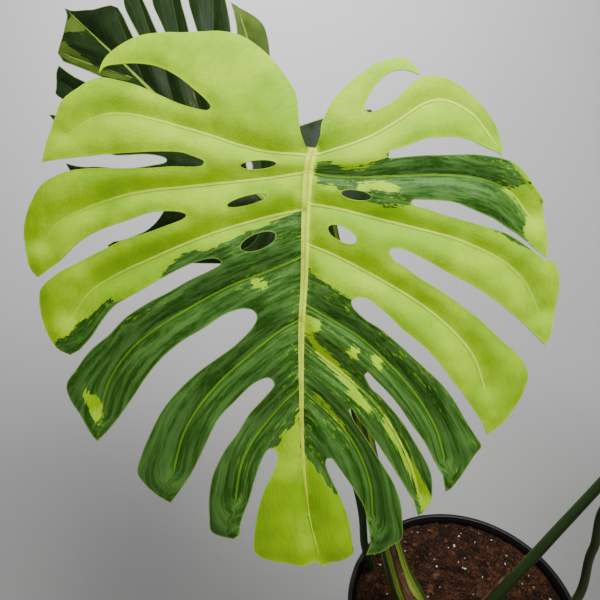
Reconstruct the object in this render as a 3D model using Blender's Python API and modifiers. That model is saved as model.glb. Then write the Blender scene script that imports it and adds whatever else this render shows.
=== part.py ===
"""A potted monstera: a black nursery pot of soil with a short stem and four split leaves on long stalks.

Metres, +Z up. The origin is the centre of the pot's flat foot. Heights of the plant are measured from the pot's rim.
"""

import math
import random

import bmesh
import bpy
import numpy as np
from mathutils import Matrix, Vector, geometry

# Pot
POT_HEIGHT = 0.212
RIM_RADIUS = 0.1175
FOOT_RADIUS = 0.083
POT_WALL = 0.0022
FOOT_THICKNESS = 0.003
RIM_BAND = 0.022
RIM_STEP = 0.004
FOOT_FILLET = 0.006
DRAIN_HOLES = 8
DRAIN_RADIUS = 0.006
POT_STEPS = 48

# Soil
SOIL_DROP = 0.011
SOIL_LUMPS = 0.0016
SOIL_STEPS = 32
FIT = 0.0003

# Stem and stalks
STEM_RADIUS = 0.015
STEM_TOP = 0.052
STEM_DEPTH = 0.060
STEM_PLACE = (-0.045, -0.390)
SHOOT_DEPTH = 0.040
SHEATH_THICKNESS = 0.0009

# Leaves
LEAF_SCALE = 1.0
BLADE_THICKNESS = 0.0014
PILLOW = 0.0035
PILLOW_REACH = 0.009
GRID_STEP = 0.024

GREEN_DARK = (0.035, 0.105, 0.028)
GREEN_LIME = (0.36, 0.53, 0.075)

for old in list(bpy.data.objects):
    bpy.data.objects.remove(old)
for old in list(bpy.data.collections):
    bpy.data.collections.remove(old)
PARTS = bpy.data.collections.new("potted_monstera")
CUTTERS = bpy.data.collections.new("cutters")
bpy.context.scene.collection.children.link(PARTS)
bpy.context.scene.collection.children.link(CUTTERS)


def material(name, color, roughness):
    """A plain finish in the piece's own colour."""
    finish = bpy.data.materials.new(name)
    finish.use_nodes = True
    shader = finish.node_tree.nodes["Principled BSDF"]
    shader.inputs["Base Color"].default_value = (*color, 1.0)
    shader.inputs["Roughness"].default_value = roughness
    shader.inputs["Metallic"].default_value = 0.0
    return finish


def part(name, data, color, roughness):
    """One piece of the plant, in the collection of parts."""
    piece = bpy.data.objects.new(name, data)
    piece.data.materials.append(material(name, color, roughness))
    PARTS.objects.link(piece)
    return piece


def cutter(name, data):
    """A helper that cuts another piece and isn't one itself."""
    piece = bpy.data.objects.new(name, data)
    piece.hide_render = True
    piece.display_type = "WIRE"
    CUTTERS.objects.link(piece)
    return piece


def cut(piece, tool, name):
    """Takes the tool's shape out of the piece."""
    boolean = piece.modifiers.new(name, "BOOLEAN")
    boolean.operation = "DIFFERENCE"
    boolean.object = tool


def above_rim(x, y, height):
    """A point of the plant: metres from the pot's axis, and a height from the rim."""
    return Vector((x, y, POT_HEIGHT + height))


def near_rim(x, y, height):
    """A point low on the plant, whose place in plan goes with the pot: in rim radii, and a height from the rim."""
    return above_rim(x * RIM_RADIUS, y * RIM_RADIUS, height)


def screw(piece, steps):
    """Turns a profile into a solid."""
    turn = piece.modifiers.new("turn", "SCREW")
    turn.steps = steps
    turn.render_steps = steps
    turn.use_merge_vertices = True
    turn.merge_threshold = 0.00005


def wall_radius(height):
    """The pot's outer radius below its rim band."""
    top = RIM_RADIUS - RIM_STEP
    share = height / (POT_HEIGHT - RIM_BAND)
    return FOOT_RADIUS + (top - FOOT_RADIUS) * min(share, 1.0)


# Pot: one moulded shell, with a stepped rim band, a rolled lip and drain holes round its foot


def make_pot():
    """The outer side runs down from the lip, the inner side runs back up from the floor's middle."""
    band_foot = POT_HEIGHT - RIM_BAND
    step = wall_radius(band_foot)
    outer = [
        (RIM_RADIUS - 0.0012, POT_HEIGHT),
        (RIM_RADIUS, POT_HEIGHT - 0.0012),
        (RIM_RADIUS, POT_HEIGHT - 0.0042),
        (RIM_RADIUS - 0.0014, POT_HEIGHT - 0.0054),
        (RIM_RADIUS - 0.0014, band_foot + 0.0010),
        (step, band_foot),
        (wall_radius(FOOT_FILLET), FOOT_FILLET),
        (FOOT_RADIUS - 0.0018, 0.0018),
        (FOOT_RADIUS - FOOT_FILLET, 0.0),
        (0.0, 0.0),
    ]
    inner = [
        (0.0, FOOT_THICKNESS),
        (FOOT_RADIUS - POT_WALL - FOOT_FILLET, FOOT_THICKNESS),
        (wall_radius(FOOT_THICKNESS + FOOT_FILLET) - POT_WALL, FOOT_THICKNESS + FOOT_FILLET),
        (step - POT_WALL, band_foot),
        (step - POT_WALL + 0.0012, band_foot + 0.0022),
        (RIM_RADIUS - 0.0014 - POT_WALL, POT_HEIGHT - 0.0054),
        (RIM_RADIUS - POT_WALL - 0.0006, POT_HEIGHT - 0.0012),
        (RIM_RADIUS - POT_WALL + 0.0002, POT_HEIGHT),
    ]
    mesh = bpy.data.meshes.new("pot")
    outer_count, count = len(outer), len(outer) + len(inner)
    points = [(radius, 0.0, height) for radius, height in outer + inner]
    edges = [(i, i + 1) for i in range(count - 1) if i != outer_count - 1] + [(count - 1, 0)]
    mesh.from_pydata(points, edges, [])
    pot = part("pot", mesh, (0.012, 0.012, 0.013), 0.42)
    screw(pot, POT_STEPS)
    holes = bmesh.new()
    for i in range(DRAIN_HOLES):
        angle = 2 * math.pi * (i + 0.5) / DRAIN_HOLES
        place = 0.68 * FOOT_RADIUS
        spot = Vector((place * math.cos(angle), place * math.sin(angle), FOOT_THICKNESS / 2))
        bmesh.ops.create_cone(
            holes,
            cap_ends=True,
            segments=16,
            radius1=DRAIN_RADIUS,
            radius2=DRAIN_RADIUS,
            depth=4 * FOOT_THICKNESS,
            matrix=Matrix.Translation(spot),
        )
    hole_mesh = bpy.data.meshes.new("drain_holes")
    holes.to_mesh(hole_mesh)
    holes.free()
    cut(pot, cutter("drain_holes", hole_mesh), "drain_holes")
    return pot


def soil_radius(height):
    """The soil fills the pot's inside, a fit short of its wall's flats."""
    inside = wall_radius(min(height, POT_HEIGHT - RIM_BAND)) - POT_WALL
    return inside * math.cos(math.pi / POT_STEPS) - FIT


def lump(x, y):
    """The soil's uneven top, as a height added to its level."""
    wave = math.sin(x * 95 + 1.3) * math.cos(y * 110 - 0.4) + 0.6 * math.sin((x - y) * 170)
    return SOIL_LUMPS * wave


SOIL_TOP = POT_HEIGHT - SOIL_DROP


def make_soil():
    """A turned plug of soil, whose top is moved up and down into low lumps."""
    rings = 5
    low = FOOT_THICKNESS + FIT
    top_radius = soil_radius(SOIL_TOP)
    profile = [(top_radius * i / rings, SOIL_TOP) for i in range(rings + 1)]
    profile += [(soil_radius(POT_HEIGHT - RIM_BAND), POT_HEIGHT - RIM_BAND - FIT)]
    profile += [(soil_radius(low + FOOT_FILLET) - FIT, low + FOOT_FILLET)]
    profile += [(FOOT_RADIUS - POT_WALL - FOOT_FILLET - FIT, low), (0.0, low)]
    mesh = bpy.data.meshes.new("soil")
    edges = [(i, i + 1) for i in range(len(profile) - 1)]
    mesh.from_pydata([(radius, 0.0, height) for radius, height in profile], edges, [])
    soil = part("soil", mesh, (0.045, 0.026, 0.016), 0.95)
    screw(soil, SOIL_STEPS)
    solid = plain_mesh(soil)
    for vertex in solid.data.vertices:
        if vertex.co.z > SOIL_TOP - 0.001:
            inward = 1.0 - math.hypot(vertex.co.x, vertex.co.y) / top_radius
            vertex.co.z += lump(vertex.co.x, vertex.co.y) * min(1.0, 4 * inward)
    return solid


def plain_mesh(piece):
    """The piece with its modifiers or its bevel applied, as a mesh with welded caps."""
    graph = bpy.context.evaluated_depsgraph_get()
    mesh = bpy.data.meshes.new_from_object(piece.evaluated_get(graph))
    shape = bmesh.new()
    shape.from_mesh(mesh)
    bmesh.ops.remove_doubles(shape, verts=shape.verts, dist=0.00001)
    shape.to_mesh(mesh)
    shape.free()
    name, place, home = piece.name, piece.matrix_world.copy(), piece.users_collection[0]
    hidden, display = piece.hide_render, piece.display_type
    bpy.data.objects.remove(piece)
    solid = bpy.data.objects.new(name, mesh)
    solid.matrix_world = place
    solid.hide_render, solid.display_type = hidden, display
    home.objects.link(solid)
    return solid


# Stem, stalks and roots: tapering tubes along smooth routes


def smooth_route(points, count):
    """Points at even parameter steps on a Catmull-Rom curve through the given points."""
    ends = [2 * points[0] - points[1], *points, 2 * points[-1] - points[-2]]
    route = []
    spans = len(points) - 1
    for i in range(count):
        at = spans * i / (count - 1)
        span = min(int(at), spans - 1)
        t = at - span
        a, b, c, d = ends[span : span + 4]
        route.append(
            0.5 * (2 * b + (c - a) * t + (2 * a - 5 * b + 4 * c - d) * t**2 + (3 * b - a - 3 * c + d) * t**3)
        )
    return route


def tube_curve(name, route, radii, sides):
    """A round tube along a route, whose radius is read from a short list along it."""
    curve = bpy.data.curves.new(name, "CURVE")
    curve.dimensions = "3D"
    curve.bevel_depth = 1.0
    curve.bevel_resolution = sides
    curve.use_fill_caps = True
    curve.twist_mode = "MINIMUM"
    spline = curve.splines.new("POLY")
    spline.points.add(len(route) - 1)
    for i, (place, point) in enumerate(zip(route, spline.points)):
        point.co = (*place, 1.0)
        at = (len(radii) - 1) * i / (len(route) - 1)
        low = min(int(at), len(radii) - 2)
        point.radius = radii[low] + (radii[low + 1] - radii[low]) * (at - low)
    return curve


STEM_AXIS = [
    near_rim(STEM_PLACE[0], STEM_PLACE[1], -SOIL_DROP - STEM_DEPTH),
    near_rim(STEM_PLACE[0], STEM_PLACE[1], -SOIL_DROP),
    near_rim(STEM_PLACE[0], STEM_PLACE[1] - 0.02, 0.4 * STEM_TOP),
    near_rim(STEM_PLACE[0] + 0.02, STEM_PLACE[1] - 0.05, STEM_TOP),
]
STEM_RADII = [0.75 * STEM_RADIUS, STEM_RADIUS, 1.04 * STEM_RADIUS, 0.98 * STEM_RADIUS, 0.55 * STEM_RADIUS]


def beside_stem(angle, height, radius):
    """The end of a stalk or a root on the stem's side: clear of it by a fit, at a compass angle in degrees."""
    out = STEM_RADIUS * 1.05 + radius + 2 * FIT
    turn = math.radians(angle)
    spot = near_rim(STEM_PLACE[0], STEM_PLACE[1] - 0.01, height)
    return spot + Vector((out * math.cos(turn), out * math.sin(turn), 0.0))


# Each leaf: where its stalk joins it, which way its middle rib runs and its upper face looks, how far its
# sides, tip and base sag, its half width and length, and the point and reach of its spread as it sags

LEAF_FRONT = dict(
    name="front",
    joint=above_rim(-0.159, 0.0465, 0.468),
    along=Vector((0.0, -0.525, -0.851)),
    face=Vector((0.0, -0.851, 0.525)),
    sag=(0.034, 0.026, 0.030),
    span=(0.190, 0.290),
    spread=(-0.009, -0.105, 0.43),
    color=GREEN_LIME,
)
LEAF_BACK = dict(
    name="back",
    joint=above_rim(-0.192, 0.165, 0.375),
    along=Vector((-0.71, 0.49, 0.508)),
    face=Vector((0.0, -0.851, 0.525)),
    sag=(0.030, 0.030, 0.020),
    span=(0.139, 0.311),
    spread=(0.048, 0.086, 0.60),
    color=GREEN_DARK,
)
LEAF_RIGHT = dict(
    name="right",
    joint=above_rim(0.285, 0.120, 0.410),
    along=Vector((0.62, -0.22, -0.75)),
    face=Vector((0.66, -0.30, 0.69)),
    sag=(0.040, 0.040, 0.025),
    span=(0.165, 0.285),
    spread=(0.0, -0.10, 0.50),
    lobes=6,
    seed=11,
    color=GREEN_DARK,
)
LEAF_CORNER = dict(
    name="corner",
    joint=above_rim(0.215, -0.170, 0.225),
    along=Vector((0.50, -0.66, -0.56)),
    face=Vector((0.35, -0.45, 0.82)),
    sag=(0.028, 0.030, 0.018),
    span=(0.125, 0.215),
    spread=(0.0, -0.08, 0.50),
    lobes=5,
    seed=23,
    color=GREEN_LIME,
)


def leaf_matrix(leaf):
    """Leaf axes: X to the leaf's right, Y from its tip back over the joint, Z out of its upper face."""
    up = -leaf["along"].normalized()
    right = up.cross(leaf["face"]).normalized()
    out = right.cross(up)
    turn = Matrix((right, up, out)).transposed().to_4x4()
    return Matrix.Translation(leaf["joint"]) @ turn


def stalk_end(leaf, radius):
    """The stalk's last points: it comes square to the blade's back and stops a fit short of it."""
    place = leaf_matrix(leaf)
    back = -(BLADE_THICKNESS + 2 * FIT)
    low = Vector((0.0, -0.001, back - 5 * radius))
    return [place @ low, place @ Vector((0.0, -0.001, back - 1.2 * radius)), place @ Vector((0.0, -0.001, back))]


def make_stalk(leaf, low, radii, count):
    """A stalk from its low points up to its leaf."""
    route = smooth_route([*low, *stalk_end(leaf, radii[-1])], count)
    name = "stalk_" + leaf["name"]
    stalk = part(name, tube_curve(name, route, radii, 3), (0.10, 0.17, 0.04), 0.5)
    return stalk, route


# Blades: a flat outline filled with triangles, given its relief, and thickened
#
# The front and back leaves are drawn in millimetres in leaf axes. Each run of an outline goes from one
# pointed lobe end, in along a slit to its round root and out again, to the next pointed end. The runs
# go from the stalk to the tip. The other two leaves grow by rule.

FRONT_LEFT_RUNS = [
    "-5,3 -9,14 -11,35 -16,46 -30,64 -48,78 -65,82 -90,81 -114,80 -130,75 -142,67 -147,60 -149,53",
    "-146,57 -141,59 -128,60 -114,59 -104,56 -93,50 -83,42 -75,35 -71,30 -73,27.5 -79,28 -93,32 -107,38 "
    "-121,44 -135,48 -147,50 -155,48 -163,43 -174,34 -180,21 -185,6 -188,-9",
    "-177,-7 -160,-5 -139,-3 -114,-2 -94,-2 -83,-5 -76,-8 -77,-11 -83,-12 -97,-12 -114,-13 -135,-13 "
    "-153,-13 -169,-15 -181,-20 -190,-27 -197,-40 -201,-55 -200,-70 -196,-83 -191,-89",
    "-183,-83 -174,-76 -162,-64 -146,-55 -128,-49 -113,-44 -100,-43 -91,-44 -88,-46 -91,-49 -104,-54 "
    "-115,-58 -132,-63 -149,-71 -164,-79 -178,-87 -188,-96 -190,-104 -188,-118 -183,-131 -177,-139 -169,-143",
    "-163,-140 -154,-130 -146,-118 -137,-108 -121,-99 -104,-89 -86,-80 -72,-76 -65,-77 -64,-80 -73,-85 "
    "-86,-91 -100,-99 -115,-107 -130,-117 -142,-129 -155,-140 -164,-152 -171,-163 -169,-173 -162,-185 "
    "-156,-196 -150,-203",
    "-144,-197 -135,-186 -125,-172 -115,-157 -105,-145 -92,-134 -77,-125 -62,-115 -50,-111 -42,-112 "
    "-39,-117 -43,-125 -55,-137 -66,-145 -80,-155 -93,-167 -105,-182 -114,-200 -120,-215 -122,-225 "
    "-117,-233 -108,-241 -99,-246",
    "-93,-238 -84,-224 -76,-208 -70,-195 -64,-185 -55,-176 -44,-165 -36,-160 -30,-159 -27,-164 -33,-172 "
    "-44,-184 -52,-197 -61,-209 -69,-225 -72,-241 -72,-255 -71,-265 -64,-269 -55,-271",
    "-51,-268 -50,-259 -45,-245 -41,-231 -37,-219 -33,-211 -29,-208 -25,-211 -25,-217 -29,-227 -35,-240 "
    "-39,-255 -41,-271 -40,-281 -29,-286 -17,-288 -7,-290 2,-288 7,-291",
]
FRONT_RIGHT_RUNS = [
    "2,2 5,10 6,18 9,25 13,33 19,40 26,47 34,53 43,59 52,62 59,64 66,62 71,58 74,52",
    "71,53 66,55 61,55 55,54 49,50 43,44 39,37 36,31 37,27 40,26 43,27 50,30 58,35 64,41 70,47 75,50 "
    "82,51 88,51 96,48 105,43 113,36 121,27 127,18 131,8 132,2 131,-4",
    "127,-1 120,2 111,6 101,8.5 89,8.5 78,7 69,4 61,1 54,-1 51,-4 53,-6 57,-6 66,-5 82,-4 99,-3.5 "
    "113,-3.5 125,-5 134,-7 141,-10 148,-17 155,-27 160,-36 162,-52 163,-68 162,-75",
    "153,-68 145,-61 136,-55 125,-48 113,-43 101,-38 92,-36 78,-35 70,-35 68,-37 71,-39 78,-41 89,-45 "
    "103,-49 117,-53 131,-57 141,-62 152,-70 161,-77 165,-77 169,-81 171,-88 171,-98 169,-112 166,-127 161,-136",
    "154,-129 145,-120 134,-111 124,-103 110,-94 96,-87 82,-79 69,-72 61,-69 55,-69 53,-71 54,-74 57,-78 "
    "64,-82 75,-90 90,-99 104,-109 117,-119 129,-131 139,-140 146,-148 149,-157 148,-162 145,-171 139,-181 "
    "133,-189 126,-195 121,-198",
    "118,-190 112,-181 105,-171 97,-161 89,-150 80,-140 71,-132 62,-125 54,-117 45,-109 38,-104 31,-103 "
    "27,-105 28,-110 36,-118 47,-125 59,-135 71,-146 82,-156 91,-165 99,-176 106,-188 113,-199 117,-206 "
    "113,-212 108,-220 102,-229 97,-235 92,-238",
    "90,-226 85,-217 78,-204 69,-192 61,-180 52,-169 43,-160 38,-155 36,-157 37,-160 41,-167 47,-172 "
    "55,-181 63,-191 71,-204 78,-216 82,-226 83,-236 82,-245 78,-251 73,-255",
    "70,-244 62,-231 53,-217 43,-202 36,-193 30,-185 27,-180 25,-181 26,-184 29,-190 36,-200 43,-211 "
    "50,-222 57,-234 61,-247 62,-259 62,-270 55,-275 47,-280 37,-282",
    "40,-275 39,-264 36,-250 30,-239 22,-227 17,-220 13,-215 10,-215 9,-220 13,-230 19,-242 25,-258 "
    "27,-272 28,-281 20,-286 12,-288",
]
FRONT_VEINS = [
    "0,-3 -30,-1 -51,4 -72,11 -93,17 -121,24 -139,26 -155,22 -172,11",
    "-4,-15 -30,-19 -58,-22 -86,-25 -114,-28 -135,-32 -156,-39 -177,-50 -188,-64",
    "-5,-41 -30,-46 -58,-54 -86,-64 -114,-76 -138,-87 -156,-99 -168,-116",
    "-6,-74 -30,-84 -58,-95 -86,-110 -110,-125 -128,-140 -142,-160 -149,-182",
    "-8,-118 -24,-127 -44,-143 -64,-161 -80,-180 -91,-200 -97,-222",
    "-8,-165 -20,-176 -32,-190 -42,-203 -50,-220 -54,-242",
    "0,-3 19,2 40,10 61,22 78,33 94,35 112,25 124,10",
    "-3,-15 12,-18 33,-19 61,-18 89,-17 117,-20 138,-29 152,-46",
    "-4,-37 19,-41 47,-48 75,-55 103,-63 131,-76 148,-92 158,-112",
    "-5,-65 19,-75 47,-90 75,-107 96,-124 112,-143 120,-165",
    "-7,-107 12,-118 33,-131 54,-150 73,-172 86,-194 92,-215",
    "-7,-134 7,-145 26,-160 44,-178 58,-198 68,-219 74,-240",
    "-8,-167 7,-180 20,-193 32,-211 40,-233 42,-256",
]
FRONT_RIB = "0,0 -3,-14 -5,-49 -6,-90 -8,-126 -8,-175 -7,-210 -5,-235 -2,-259 4,-282"
# Small holes beside the middle rib: centre, half length, half width, slope in degrees
FRONT_HOLES = [
    (-38, -10.5, 12.5, 3.2, 4),
    (-45.5, -35.5, 14.5, 3.3, 15),
    (-38, -64, 13, 5.6, 22),
    (30, -32, 10.5, 3.5, -9),
    (20.5, -59, 11, 5, -28),
]


BACK_LEFT_RUNS = [
    "-5,3 -14,28 -30,48 -48,58 -66,60 -90,54 -112,38 -126,18 -129,-2",
    "-112,-14 -92,-27 -74,-37 -58,-46 -46,-53 -42,-58 -46,-65 -60,-72 -80,-88 -103,-111 -118,-132 "
    "-122,-145 -121,-162 -116,-180",
    "-112,-172 -103,-158 -93,-146 -80,-130 -66,-115 -58,-108 -55,-109 -57,-115 -68,-127 -84,-144 "
    "-98,-161 -109,-177 -118,-192 -124,-205 -122,-216",
    "-108,-220 -95,-220 -87,-210 -79,-195 -70,-178 -60,-161 -50,-147 -44,-141 -41,-142 -43,-149 "
    "-53,-166 -64,-184 -74,-201 -83,-218 -92,-233 -98,-245 -95,-254",
    "-84,-257 -73,-252 -66,-244 -61,-235 -55,-218 -48,-200 -41,-184 -35,-172 -31,-170 -31,-176 "
    "-37,-190 -43,-207 -50,-226 -57,-244 -62,-259 -65,-272",
    "-56,-274 -47,-267 -41,-257 -37,-246 -32,-229 -27,-212 -23,-202 -20,-200 -19,-206 -24,-223 "
    "-29,-239 -34,-253 -37,-264",
    "-34,-272 -19,-283 -10,-294 -3,-305",
]
BACK_RIGHT_RUNS = [
    "5,4 20,22 38,30 56,22 73,2 92,-20 114,-46 134,-71 139,-86 138,-97",
    "131,-95 123,-89 111,-82 100,-77 88,-75 77,-76 71,-79 73,-84 86,-97 99,-115 109,-136 115,-160 "
    "114,-176 111,-188",
    "106,-180 100,-171 92,-161 80,-145 66,-129 52,-117 43,-110 39,-110 40,-116 49,-130 62,-144 "
    "71,-154 77,-168 83,-186 88,-205 90,-222 88,-237",
    "82,-229 73,-217 60,-200 46,-181 35,-166 31,-162 31,-168 41,-182 53,-198 62,-215 66,-230 "
    "69,-246 65,-252 60,-258 53,-264 46,-267",
    "45,-255 43,-244 39,-230 33,-214 27,-200 21,-190 18,-189 19,-196 22,-210 26,-228 33,-249 40,-268",
    "38,-278 23,-286 12,-295 4,-304 0,-311",
]
BACK_VEINS = [
    "-1,-3 -30,13 -62,22 -95,18 -118,4",
    "0,-22 -22,-42 -48,-76 -76,-108 -98,-136 -112,-162",
    "0,-55 -20,-85 -48,-124 -76,-164 -100,-190 -113,-206",
    "0,-90 -16,-120 -36,-156 -56,-192 -76,-224 -88,-243",
    "0,-135 -12,-160 -26,-186 -40,-220 -52,-246 -59,-262",
    "0,-185 -8,-205 -18,-230 -28,-255",
    "1,-3 20,5 38,9 52,6",
    "0,-9 28,-20 58,-37 88,-55 112,-72 128,-86",
    "0,-30 26,-58 54,-94 78,-120 96,-148 106,-174",
    "0,-80 18,-106 36,-136 58,-166 74,-196 84,-222",
    "0,-130 12,-152 25,-177 40,-206 52,-232 56,-252",
    "0,-190 8,-210 18,-232 27,-254 32,-267",
]
BACK_RIB = "0,0 0,-40 1,-90 1,-150 0,-210 0,-265 0,-302"
BACK_HOLES = [(-12, -46, 6, 2.8, 55), (-16, -101, 8, 3, 60), (14, -66, 9, 3, -55)]


def read_points(text):
    """A list of points, in metres at the leaves' scale, from a line of x,y pairs in millimetres."""
    return np.array([[float(value) for value in pair.split(",")] for pair in text.split()]) * LEAF_SCALE / 1000


def drawn_pattern(left_runs, right_runs, rib, veins, holes):
    """A drawn leaf: its outline, its veins with the middle rib first, and its holes."""
    left = [read_points(run) for run in left_runs]
    right = [read_points(run)[::-1] for run in reversed(right_runs)]
    outline = np.concatenate(left + right)
    lines = [read_points(line) for line in [rib, *veins]]
    ovals = [oval(*(value * LEAF_SCALE / 1000 for value in hole[:4]), hole[4], 10) for hole in holes]
    return outline, lines, ovals


def oval(x, y, half_length, half_width, slope, count):
    """A hole's edge."""
    turn = math.radians(slope)
    angles = 2 * math.pi * np.arange(count) / count
    along, across = half_length * np.cos(angles), half_width * np.sin(angles)
    return np.stack(
        [x + along * math.cos(turn) - across * math.sin(turn), y + along * math.sin(turn) + across * math.cos(turn)],
        axis=1,
    )


def bent_vein(start, tip, rise):
    """A vein that leaves the rib more squarely and bends down to its lobe's tip, as a function of 0 to 1."""
    middle = (start + tip) / 2 + np.array([0.0, rise])

    def at(t):
        return (1 - t) ** 2 * start + 2 * t * (1 - t) * middle + t**2 * tip

    return at


def grown_pattern(half_width, length, lobes, seed):
    """A split leaf by rule: veins fan from the middle rib, and a slit runs in between each two of them."""
    rng = random.Random(seed)
    outline, veins = [], [np.array([[0.0, -length * t] for t in np.linspace(0, 0.97, 9)])]
    holes = []
    for side in (-1, 1):
        fan = []
        for i in range(lobes + 1):
            share = i / lobes
            start = np.array([0.0, -length * (0.012 + 0.58 * share**1.4)])
            angle = math.radians(119 - 90 * share + rng.uniform(-3, 3))
            reach = half_width * (1.02 + 0.45 * share - 0.85 * share**2) * rng.uniform(0.97, 1.04)
            tip = start + reach * np.array([side * math.sin(angle), -math.cos(angle)])
            fan.append(bent_vein(start, tip, 0.17 * reach))
        fan.append(bent_vein(np.array([0.0, -0.70 * length]), np.array([0.0, -length]), 0.0))
        for vein in fan[:-1]:
            veins.append(np.array([vein(t) for t in (0.04, 0.2, 0.4, 0.6, 0.8, 0.93)]))
        edge = [np.array([side * 0.004, 0.003])]
        for t, rise in ((0.05, 0.09), (0.16, 0.16), (0.34, 0.195), (0.55, 0.18), (0.76, 0.125), (0.92, 0.055)):
            edge.append(fan[0](t) + np.array([0.0, rise * length]))
        for upper, lower in zip(fan, fan[1:]):
            last = lower is fan[-1]
            root = 0.34 if last else rng.uniform(0.36, 0.46)
            before, after = (0.29, 0.60) if last else (0.435, 0.450)
            for t in (0.999, 0.93, 0.84, 0.7, root + 0.06):
                edge.append(upper(t) + (lower(t) - upper(t)) * (before + 0.03 * (1 - t)) * (1 - t**9))
            edge.append(upper(root) + (lower(root) - upper(root)) * (before + 0.5 - after / 2 - before / 2))
            for t in (root + 0.06, 0.66, 0.8, 0.9, 0.96, 0.985):
                edge.append(lower(t) + (upper(t) - lower(t)) * (after + 0.02 * (1 - t)) * (1 - t**16))
            near, far = upper(0.19), lower(0.19)
            gap = np.linalg.norm(near - far)
            if lower is not fan[1] and not last and gap > 0.030:
                run = lower(0.3) - lower(0.1)
                slope = math.degrees(math.atan2(run[1], run[0]))
                holes.append(oval(*((near + far) / 2), 0.034 * length, 0.13 * gap, slope, 10))
        edge = np.array(edge)
        outline.append(edge if side < 0 else edge[::-1])
    tip = np.array([[0.0, -length - 0.004]])
    return np.concatenate([outline[0], tip, outline[1]]), veins, holes


def inside(points, loops):
    """Which points lie inside the outline and outside its holes."""
    odd = np.zeros(len(points), bool)
    for loop in loops:
        for (x0, y0), (x1, y1) in zip(loop, np.roll(loop, -1, axis=0)):
            if y0 == y1:
                continue
            crosses = (y0 > points[:, 1]) != (y1 > points[:, 1])
            odd ^= crosses & (points[:, 0] < x0 + (points[:, 1] - y0) * (x1 - x0) / (y1 - y0))
    return odd


def distance_to(points, lines):
    """Each point's distance to the nearest of some open lines."""
    best = np.full(len(points), np.inf)
    for line in lines:
        for start, end in zip(line, line[1:]):
            run = end - start
            share = np.clip(((points - start) @ run) / (run @ run), 0, 1)
            gap = np.linalg.norm(points - start - share[:, None] * run, axis=1)
            best = np.minimum(best, gap)
    return best


def fill(outline, veins, holes, step):
    """Triangles over the leaf that follow its edge and its veins."""
    loops = [outline, *holes]
    low, high = outline.min(axis=0), outline.max(axis=0)
    rows = np.arange(low[1], high[1], step * 0.866)
    grid = np.array(
        [(x + (step / 2 if i % 2 else 0), y) for i, y in enumerate(rows) for x in np.arange(low[0], high[0], step)]
    )
    closed = [np.concatenate([loop, loop[:1]]) for loop in loops]
    grid = grid[inside(grid, loops) & (distance_to(grid, closed + veins) > 0.42 * step)]
    points, edges = [], []
    for line, closes in [(loop, True) for loop in loops] + [(vein, False) for vein in veins]:
        first = len(points)
        points += [tuple(point) for point in line]
        count = len(line)
        edges += [(first + i, first + (i + 1) % count) for i in range(count if closes else count - 1)]
    points += [tuple(point) for point in grid]
    flat, _, faces, _, _, _ = geometry.delaunay_2d_cdt(
        [Vector(point) for point in points], edges, [], 1, 0.00001, False
    )
    flat = np.array([point[:] for point in flat])
    faces = np.array(faces)
    return flat, faces[inside(flat[faces].mean(axis=1), loops)]


def make_blade(leaf):
    """A leaf blade: sunk along its veins, pillowed between them, and sagging at its sides, tip and base."""
    half_width, length = (LEAF_SCALE * size for size in leaf["span"])
    if leaf is LEAF_FRONT:
        pattern = drawn_pattern(FRONT_LEFT_RUNS, FRONT_RIGHT_RUNS, FRONT_RIB, FRONT_VEINS, FRONT_HOLES)
    elif leaf is LEAF_BACK:
        pattern = drawn_pattern(BACK_LEFT_RUNS, BACK_RIGHT_RUNS, BACK_RIB, BACK_VEINS, BACK_HOLES)
    else:
        pattern = grown_pattern(half_width, length, leaf["lobes"], leaf["seed"])
    outline, veins, holes = pattern
    flat, faces = fill(outline, veins, holes, GRID_STEP)
    pillow = PILLOW * (1 - np.exp(-((distance_to(flat, veins) / PILLOW_REACH) ** 2)))
    side_sag, tip_sag, base_sag = leaf["sag"]
    across, down = flat[:, 0] / half_width, -flat[:, 1] / length
    sag = side_sag * across**2 + tip_sag * np.maximum(down, 0) ** 2 + base_sag * (3 * np.minimum(down, 0)) ** 2
    x, y, reach = leaf["spread"]
    flat = flat + (flat - np.array([x, y])) * (sag / reach)[:, None]
    mesh = bpy.data.meshes.new("leaf_" + leaf["name"])
    mesh.from_pydata([(x, y, z) for (x, y), z in zip(flat.tolist(), (pillow - sag).tolist())], [], faces.tolist())
    shape = bmesh.new()
    shape.from_mesh(mesh)
    loose = [vertex for vertex in shape.verts if not vertex.link_faces]
    bmesh.ops.delete(shape, geom=loose, context="VERTS")
    for face in shape.faces:
        if face.normal.z < 0:
            face.normal_flip()
    shape.to_mesh(mesh)
    shape.free()
    blade = part("leaf_" + leaf["name"], mesh, leaf["color"], 0.35)
    blade.matrix_world = leaf_matrix(leaf)
    thicken = blade.modifiers.new("thickness", "SOLIDIFY")
    thicken.thickness = BLADE_THICKNESS
    thicken.offset = -1.0
    return blade


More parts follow.
